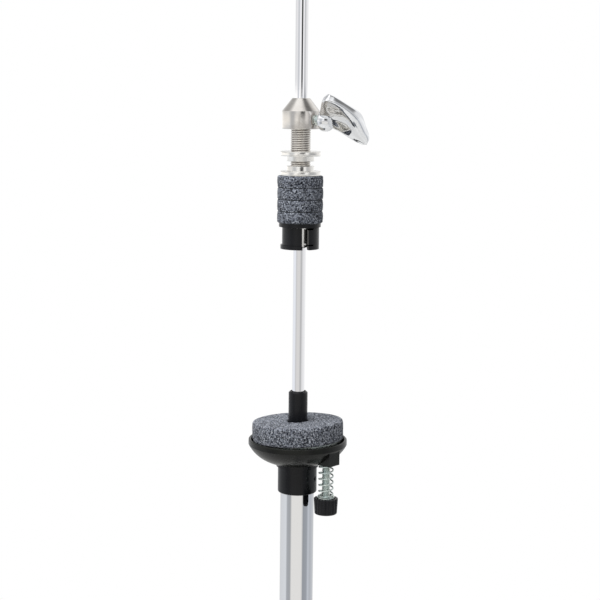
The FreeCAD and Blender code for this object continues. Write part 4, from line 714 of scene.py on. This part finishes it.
def wing_screw(node):
    """The die-cast wing with its collar, and the threaded stud it turns."""
    name = node + "_cast"
    axis, place = joint_axis(node + "_turn"), joint_place(node + "_turn")
    azimuth = math.atan2(axis.y, axis.x)
    stand = (Matrix.Translation(place) @ Matrix.Rotation(azimuth, 4, "Z")
             @ Matrix.Rotation(math.radians(WING_ROLL), 4, "X"))
    start = min((stand.inverted() @ Vector(v.co)).x for v in NODES[node].data.vertices)
    wing = wing_mesh(name, start)
    collar = turned_mesh(name + "_collar", [
        (0, 0), (4.6 * MM, 0), (5.6 * MM, 0.5 * MM), (6.0 * MM, 1.6 * MM), (6.0 * MM, 3.6 * MM),
        (5.4 * MM, 5.2 * MM), (4.2 * MM, 6.4 * MM), (0, 6.6 * MM)], 64)
    moved(collar, Matrix.Translation((start + 0.8 * MM, 0, 0)) @ ALONG_X)
    for piece in (wing, collar):
        stand_for(moved(piece, stand), node, "chrome", CHROME, node)
    tip = min((stand.inverted() @ Vector(v.co)).x for v in NODES[node + "_stud"].data.vertices)
    stud = threaded_rod(name + "_thread", STUD_R, STUD_PITCH, STUD_THREAD_DEPTH,
                        start + 4 * MM - tip)
    moved(stud, stand @ Matrix.Translation((tip, 0, 0)) @ ALONG_X)
    stand_for(stud, node, "steel_bright", ZINC, node + "_stud")


# ------------------------------------------------------------------ seat


def tilt_group():
    """Tilt screw, its knob, and the spring that keeps the screw from turning by itself."""
    axis = joint_place("tilt_screw_turn")
    across = Matrix.Translation((axis.x, axis.y, 0))
    bottom, top = low("tilt_screw"), high("tilt_screw")
    screw = threaded_rod("tilt_thread", TILT_SCREW_R, TILT_PITCH, TILT_THREAD_DEPTH, top - bottom)
    moved(screw, across @ Matrix.Translation((0, 0, bottom)))
    stand_for(screw, "tilt_screw", "steel_bright", ZINC, "tilt_screw")

    knob_low, knob_top = low("tilt_knob"), high("tilt_knob")
    knob_r = radius("tilt_knob")
    recess = knob_top - 1.4 * MM
    # The arc of the first corner is left out, and what is left near the axis of the others.
    profile = [(0, knob_low)] + rounded([
        (1 * MM, knob_low), (knob_r - 0.55 * MM, knob_low, 0.7 * MM), (knob_r, knob_top, 0.6 * MM),
        (5.5 * MM, knob_top, 0.3 * MM), (5.2 * MM, recess, 0.3 * MM),
        (2.5 * MM, recess)], 0.01 * MM)[6:]
    profile = [p for p in profile if p[0] > 1.5 * MM or p[1] == knob_low]
    profile.append((0, recess))
    flutes, flute_depth = 20, 0.55 * MM

    def fluted(r, z, turn):
        if r < knob_r - 0.95 * MM:
            return r, z
        wave = abs(math.sin(turn * flutes / 2)) ** 1.3
        inside = min(max((z - knob_low) / (1.2 * MM), 0), 1)
        return r - flute_depth * (1 - wave) * inside, z

    knob = turned_mesh("tilt_knob_fluted", profile, 400, fluted, 30)
    moved(knob, across)
    stand_for(knob, "tilt_screw", "plastic_black", PLASTIC, "tilt_knob")

    spring_low, spring_high = low("tilt_spring"), high("tilt_spring")
    spring = coil("tilt_coil", axis, TILT_COIL_R, TILT_WIRE, TILT_TURNS, spring_low, spring_high)
    stand_for(spring, None, "steel_bright", ZINC, "tilt_spring")
    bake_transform(spring)


def return_spring():
    """Made as two runs of one coil: its lowest turns, by the spring seat, and the rest of it, up to
    the rod's coupling.
    """
    bottom, top = low("return_spring"), high("return_spring")
    size = (Vector((0, 0, 0)), RETURN_COIL_R, RETURN_WIRE, RETURN_TURNS, bottom, top)
    seat_share = 0.2
    seat_turns = coil("return_coil_low", *size, (0, seat_share))
    rod_turns = coil("return_coil", *size, (seat_share, 1))
    for piece in (seat_turns, rod_turns):
        stand_for(piece, None, "steel_bright", SPRING, "return_spring")
    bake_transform(seat_turns)
    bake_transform(rod_turns)


# ------------------------------------------------------------------ studio


def floor():
    """A round pale floor."""
    made = turned_mesh("floor", [(0, -4 * MM), (1.48, -4 * MM), (1.5, -1 * MM), (0, -1 * MM)], 96)
    finish = Finish("pale_floor").set(roughness=0.9)
    finish.base(finish.ramp(finish.noise(0.5), [(0.3, (0.58, 0.58, 0.57)),
                                                (0.7, (0.64, 0.64, 0.63))]))
    dress(made, finish.material)


def surroundings():
    """A white studio whose softboxes and gaps show as upright bands in the metal."""
    world = bpy.data.worlds.new("studio")
    bpy.context.scene.world = world
    world.use_nodes = True
    tree = world.node_tree
    tree.nodes.clear()

    def node(kind, **settings):
        made = tree.nodes.new(kind)
        for key, value in settings.items():
            setattr(made, key, value)
        return made

    def link(a, b):
        tree.links.new(a, b)

    def grey(value, warmth=0):
        """A grey, a little yellow when warmth is above 0 and a little blue below it."""
        return (value * (1 + 0.03 * warmth), value, value * (1 - 0.05 * warmth), 1)

    way = node("ShaderNodeSeparateXYZ")
    link(node("ShaderNodeTexCoord").outputs["Generated"], way.inputs["Vector"])
    behind = node("ShaderNodeMath", operation="MULTIPLY")
    behind.inputs[1].default_value = -1
    link(way.outputs["Y"], behind.inputs[0])
    turn = node("ShaderNodeMath", operation="ARCTAN2")
    link(way.outputs["X"], turn.inputs[0])
    link(behind.outputs[0], turn.inputs[1])
    share = node("ShaderNodeMapRange")
    share.inputs["From Min"].default_value = -math.pi
    share.inputs["From Max"].default_value = math.pi
    link(turn.outputs[0], share.inputs["Value"])

    def band_ramp(bands):
        """Tones round the stand, given as degrees to the right of straight behind the camera."""
        made = node("ShaderNodeValToRGB")
        elements = made.color_ramp.elements
        for i, (degrees, colour) in enumerate(bands):
            place = degrees / 360 + 0.5
            element = elements[i] if i < 2 else elements.new(place)
            element.position = place
            element.color = colour
        link(share.outputs["Result"], made.inputs["Fac"])
        return made.outputs["Color"]

    def level_mask(stops):
        """A grey that changes with the height looked at, given as degrees above the horizon."""
        made = node("ShaderNodeValToRGB")
        elements = made.color_ramp.elements
        for i, (degrees, value) in enumerate(stops):
            place = (math.sin(math.radians(degrees)) + 1) / 2
            element = elements[i] if i < 2 else elements.new(place)
            element.position = place
            element.color = (value, value, value, 1)
        link(share_up.outputs["Result"], made.inputs["Fac"])
        return made.outputs["Color"]

    share_up = node("ShaderNodeMapRange")
    share_up.inputs["From Min"].default_value = -1
    link(way.outputs["Z"], share_up.inputs["Value"])
    beside_tube = band_ramp([
        (-180, grey(0.47)), (-140, grey(0.53, -0.6)), (-80, grey(0.57, -0.6)),
        (-70, grey(0.33, -1)), (-46, grey(0.30, -0.6)), (-36, grey(0.61, 0.8)),
        (27, grey(0.61, 0.8)), (39, grey(0.26, -1.4)), (74, grey(0.29, -1.6)),
        (88, grey(0.49, -1.4)), (104, grey(0.37, -1.2)), (140, grey(0.46, -0.6)),
        (179, grey(0.47))])
    beside_rod = band_ramp([
        (-180, grey(0.60)), (-100, grey(0.62, -1)), (-72, grey(0.60, -1)), (-56, grey(0.42)),
        (-34, grey(0.50, 0.5)), (12, grey(0.50, 0.5)), (28, grey(0.36)), (46, grey(0.36)),
        (60, grey(0.54)), (110, grey(0.62)), (150, grey(0.66))])
    beside_top = band_ramp([
        (-180, grey(0.60)), (-110, grey(0.55)), (-84, grey(0.62)), (-60, grey(0.44, -0.6)),
        (-40, grey(0.46, -0.6)), (-22, grey(0.72)), (-6, grey(0.66)), (0, grey(0.04)),
        (22, grey(0.05)), (30, grey(0.74)), (44, grey(0.66)), (54, grey(0.40, -0.6)),
        (74, grey(0.44)), (100, grey(0.62))])
    beside_head = band_ramp([
        (-180, grey(0.95)), (-100, grey(0.94, 0.8)), (-76, grey(0.90, 0.8)),
        (-62, grey(0.50, -0.6)), (-44, grey(0.54, -0.8)), (-32, grey(0.94, 0.6)),
        (-22, grey(0.90, 0.6)), (-10, grey(0.42, 1)), (0, grey(0.74)), (14, grey(0.48)),
        (32, grey(0.84)), (42, grey(0.78)), (54, grey(0.22, -1)), (90, grey(0.27, -1.4)),
        (108, grey(0.60)), (140, grey(0.80))])
    above = band_ramp([
        (-180, grey(0.50)), (-126, grey(0.38)), (-108, grey(0.42)), (-84, grey(0.96)),
        (10, grey(0.90)), (48, grey(0.60)), (70, grey(0.16)), (98, grey(0.16)), (118, grey(0.60)),
        (140, grey(0.84)), (176, grey(0.60))])

    def mixed(a, b, factor):
        made = node("ShaderNodeMix", data_type="RGBA")
        sockets = [s for s in made.inputs if s.enabled]
        for source, socket in zip((factor, a, b), sockets):
            link(source, socket)
        return next(s for s in made.outputs if s.enabled)

    # Each height that the metal mirrors has bands of its own: the tube's is lowest, then the rod's
    # over the seat, the clutch's and the upper rod's, and last that of faces that look up.
    rod_zone = level_mask([(-90, 0), (-14.5, 0), (-12.5, 1)])
    head_zone = level_mask([(-90, 0), (-5.2, 0), (-4.2, 1)])
    top_zone = level_mask([(-90, 0), (-0.9, 0), (-0.2, 1)])
    above_zone = level_mask([(-90, 0), (14, 0), (26, 1)])
    banded = beside_tube
    for bands, zone in ((beside_rod, rod_zone), (beside_head, head_zone), (beside_top, top_zone),
                        (above, above_zone)):
        banded = mixed(banded, bands, zone)
    seen = node("ShaderNodeBackground")
    seen.inputs["Color"].default_value = (1, 1, 1, 1)
    glow = node("ShaderNodeBackground")
    glow.inputs["Strength"].default_value = 1.4
    link(banded, glow.inputs["Color"])
    choose = node("ShaderNodeMixShader")
    link(node("ShaderNodeLightPath").outputs["Is Camera Ray"], choose.inputs["Fac"])
    link(glow.outputs["Background"], choose.inputs[1])
    link(seen.outputs["Background"], choose.inputs[2])
    link(choose.outputs["Shader"], node("ShaderNodeOutputWorld").inputs["Surface"])


def area_light(name, place, aim, size, power):
    """A softbox that lights the pieces and does not show in the metal."""
    data = bpy.data.lights.new(name, "AREA")
    data.shape = "RECTANGLE"
    data.size, data.size_y = size
    data.energy = power
    lamp = bpy.data.objects.new(name, data)
    lamp.location = place
    lamp.visible_glossy = False
    lamp.rotation_euler = (Vector(aim) - Vector(place)).to_track_quat("-Z", "Y").to_euler()
    bpy.context.scene.collection.objects.link(lamp)


def lights():
    area_light("top_light", (-0.3, -0.3, FELT_TOP + 1.3), (0, 0, FELT_TOP), (1.0, 1.0), 30)
    area_light("left_light", (-1.4, -0.9, FELT_TOP + 0.5), (0, 0, FELT_TOP), (0.5, 1.4), 6)


def camera():
    """Level with the clutch, looking a little down, rolled very slightly."""
    distance, above, look_down, tip = 0.834, 0.1914, 8.34, 0.6
    data = bpy.data.cameras.new("camera")
    data.sensor_width = 36
    data.lens = 90
    data.clip_start = 0.01
    made = bpy.data.objects.new("camera", data)
    pitch = Matrix.Rotation(math.radians(90 - look_down), 4, "X")
    roll = Matrix.Rotation(math.radians(tip), 4, "Z")
    made.matrix_world = Matrix.Translation((0.5 * MM, -distance, FELT_TOP + above)) @ pitch @ roll
    bpy.context.scene.collection.objects.link(made)
    bpy.context.scene.camera = made


# ------------------------------------------------------------------ make it all

camera()
surroundings()
lights()
floor()
dress_nodes()
felts()
clutch_threads()
clutch_head()
for name in ("upper_nut", "lower_nut"):
    nut(name)
for name in ("clutch_wing", "height_wing", "collar_wing"):
    wing_screw(name)
tilt_group()
return_spring()
bpy.context.scene.view_settings.view_transform = "Standard"
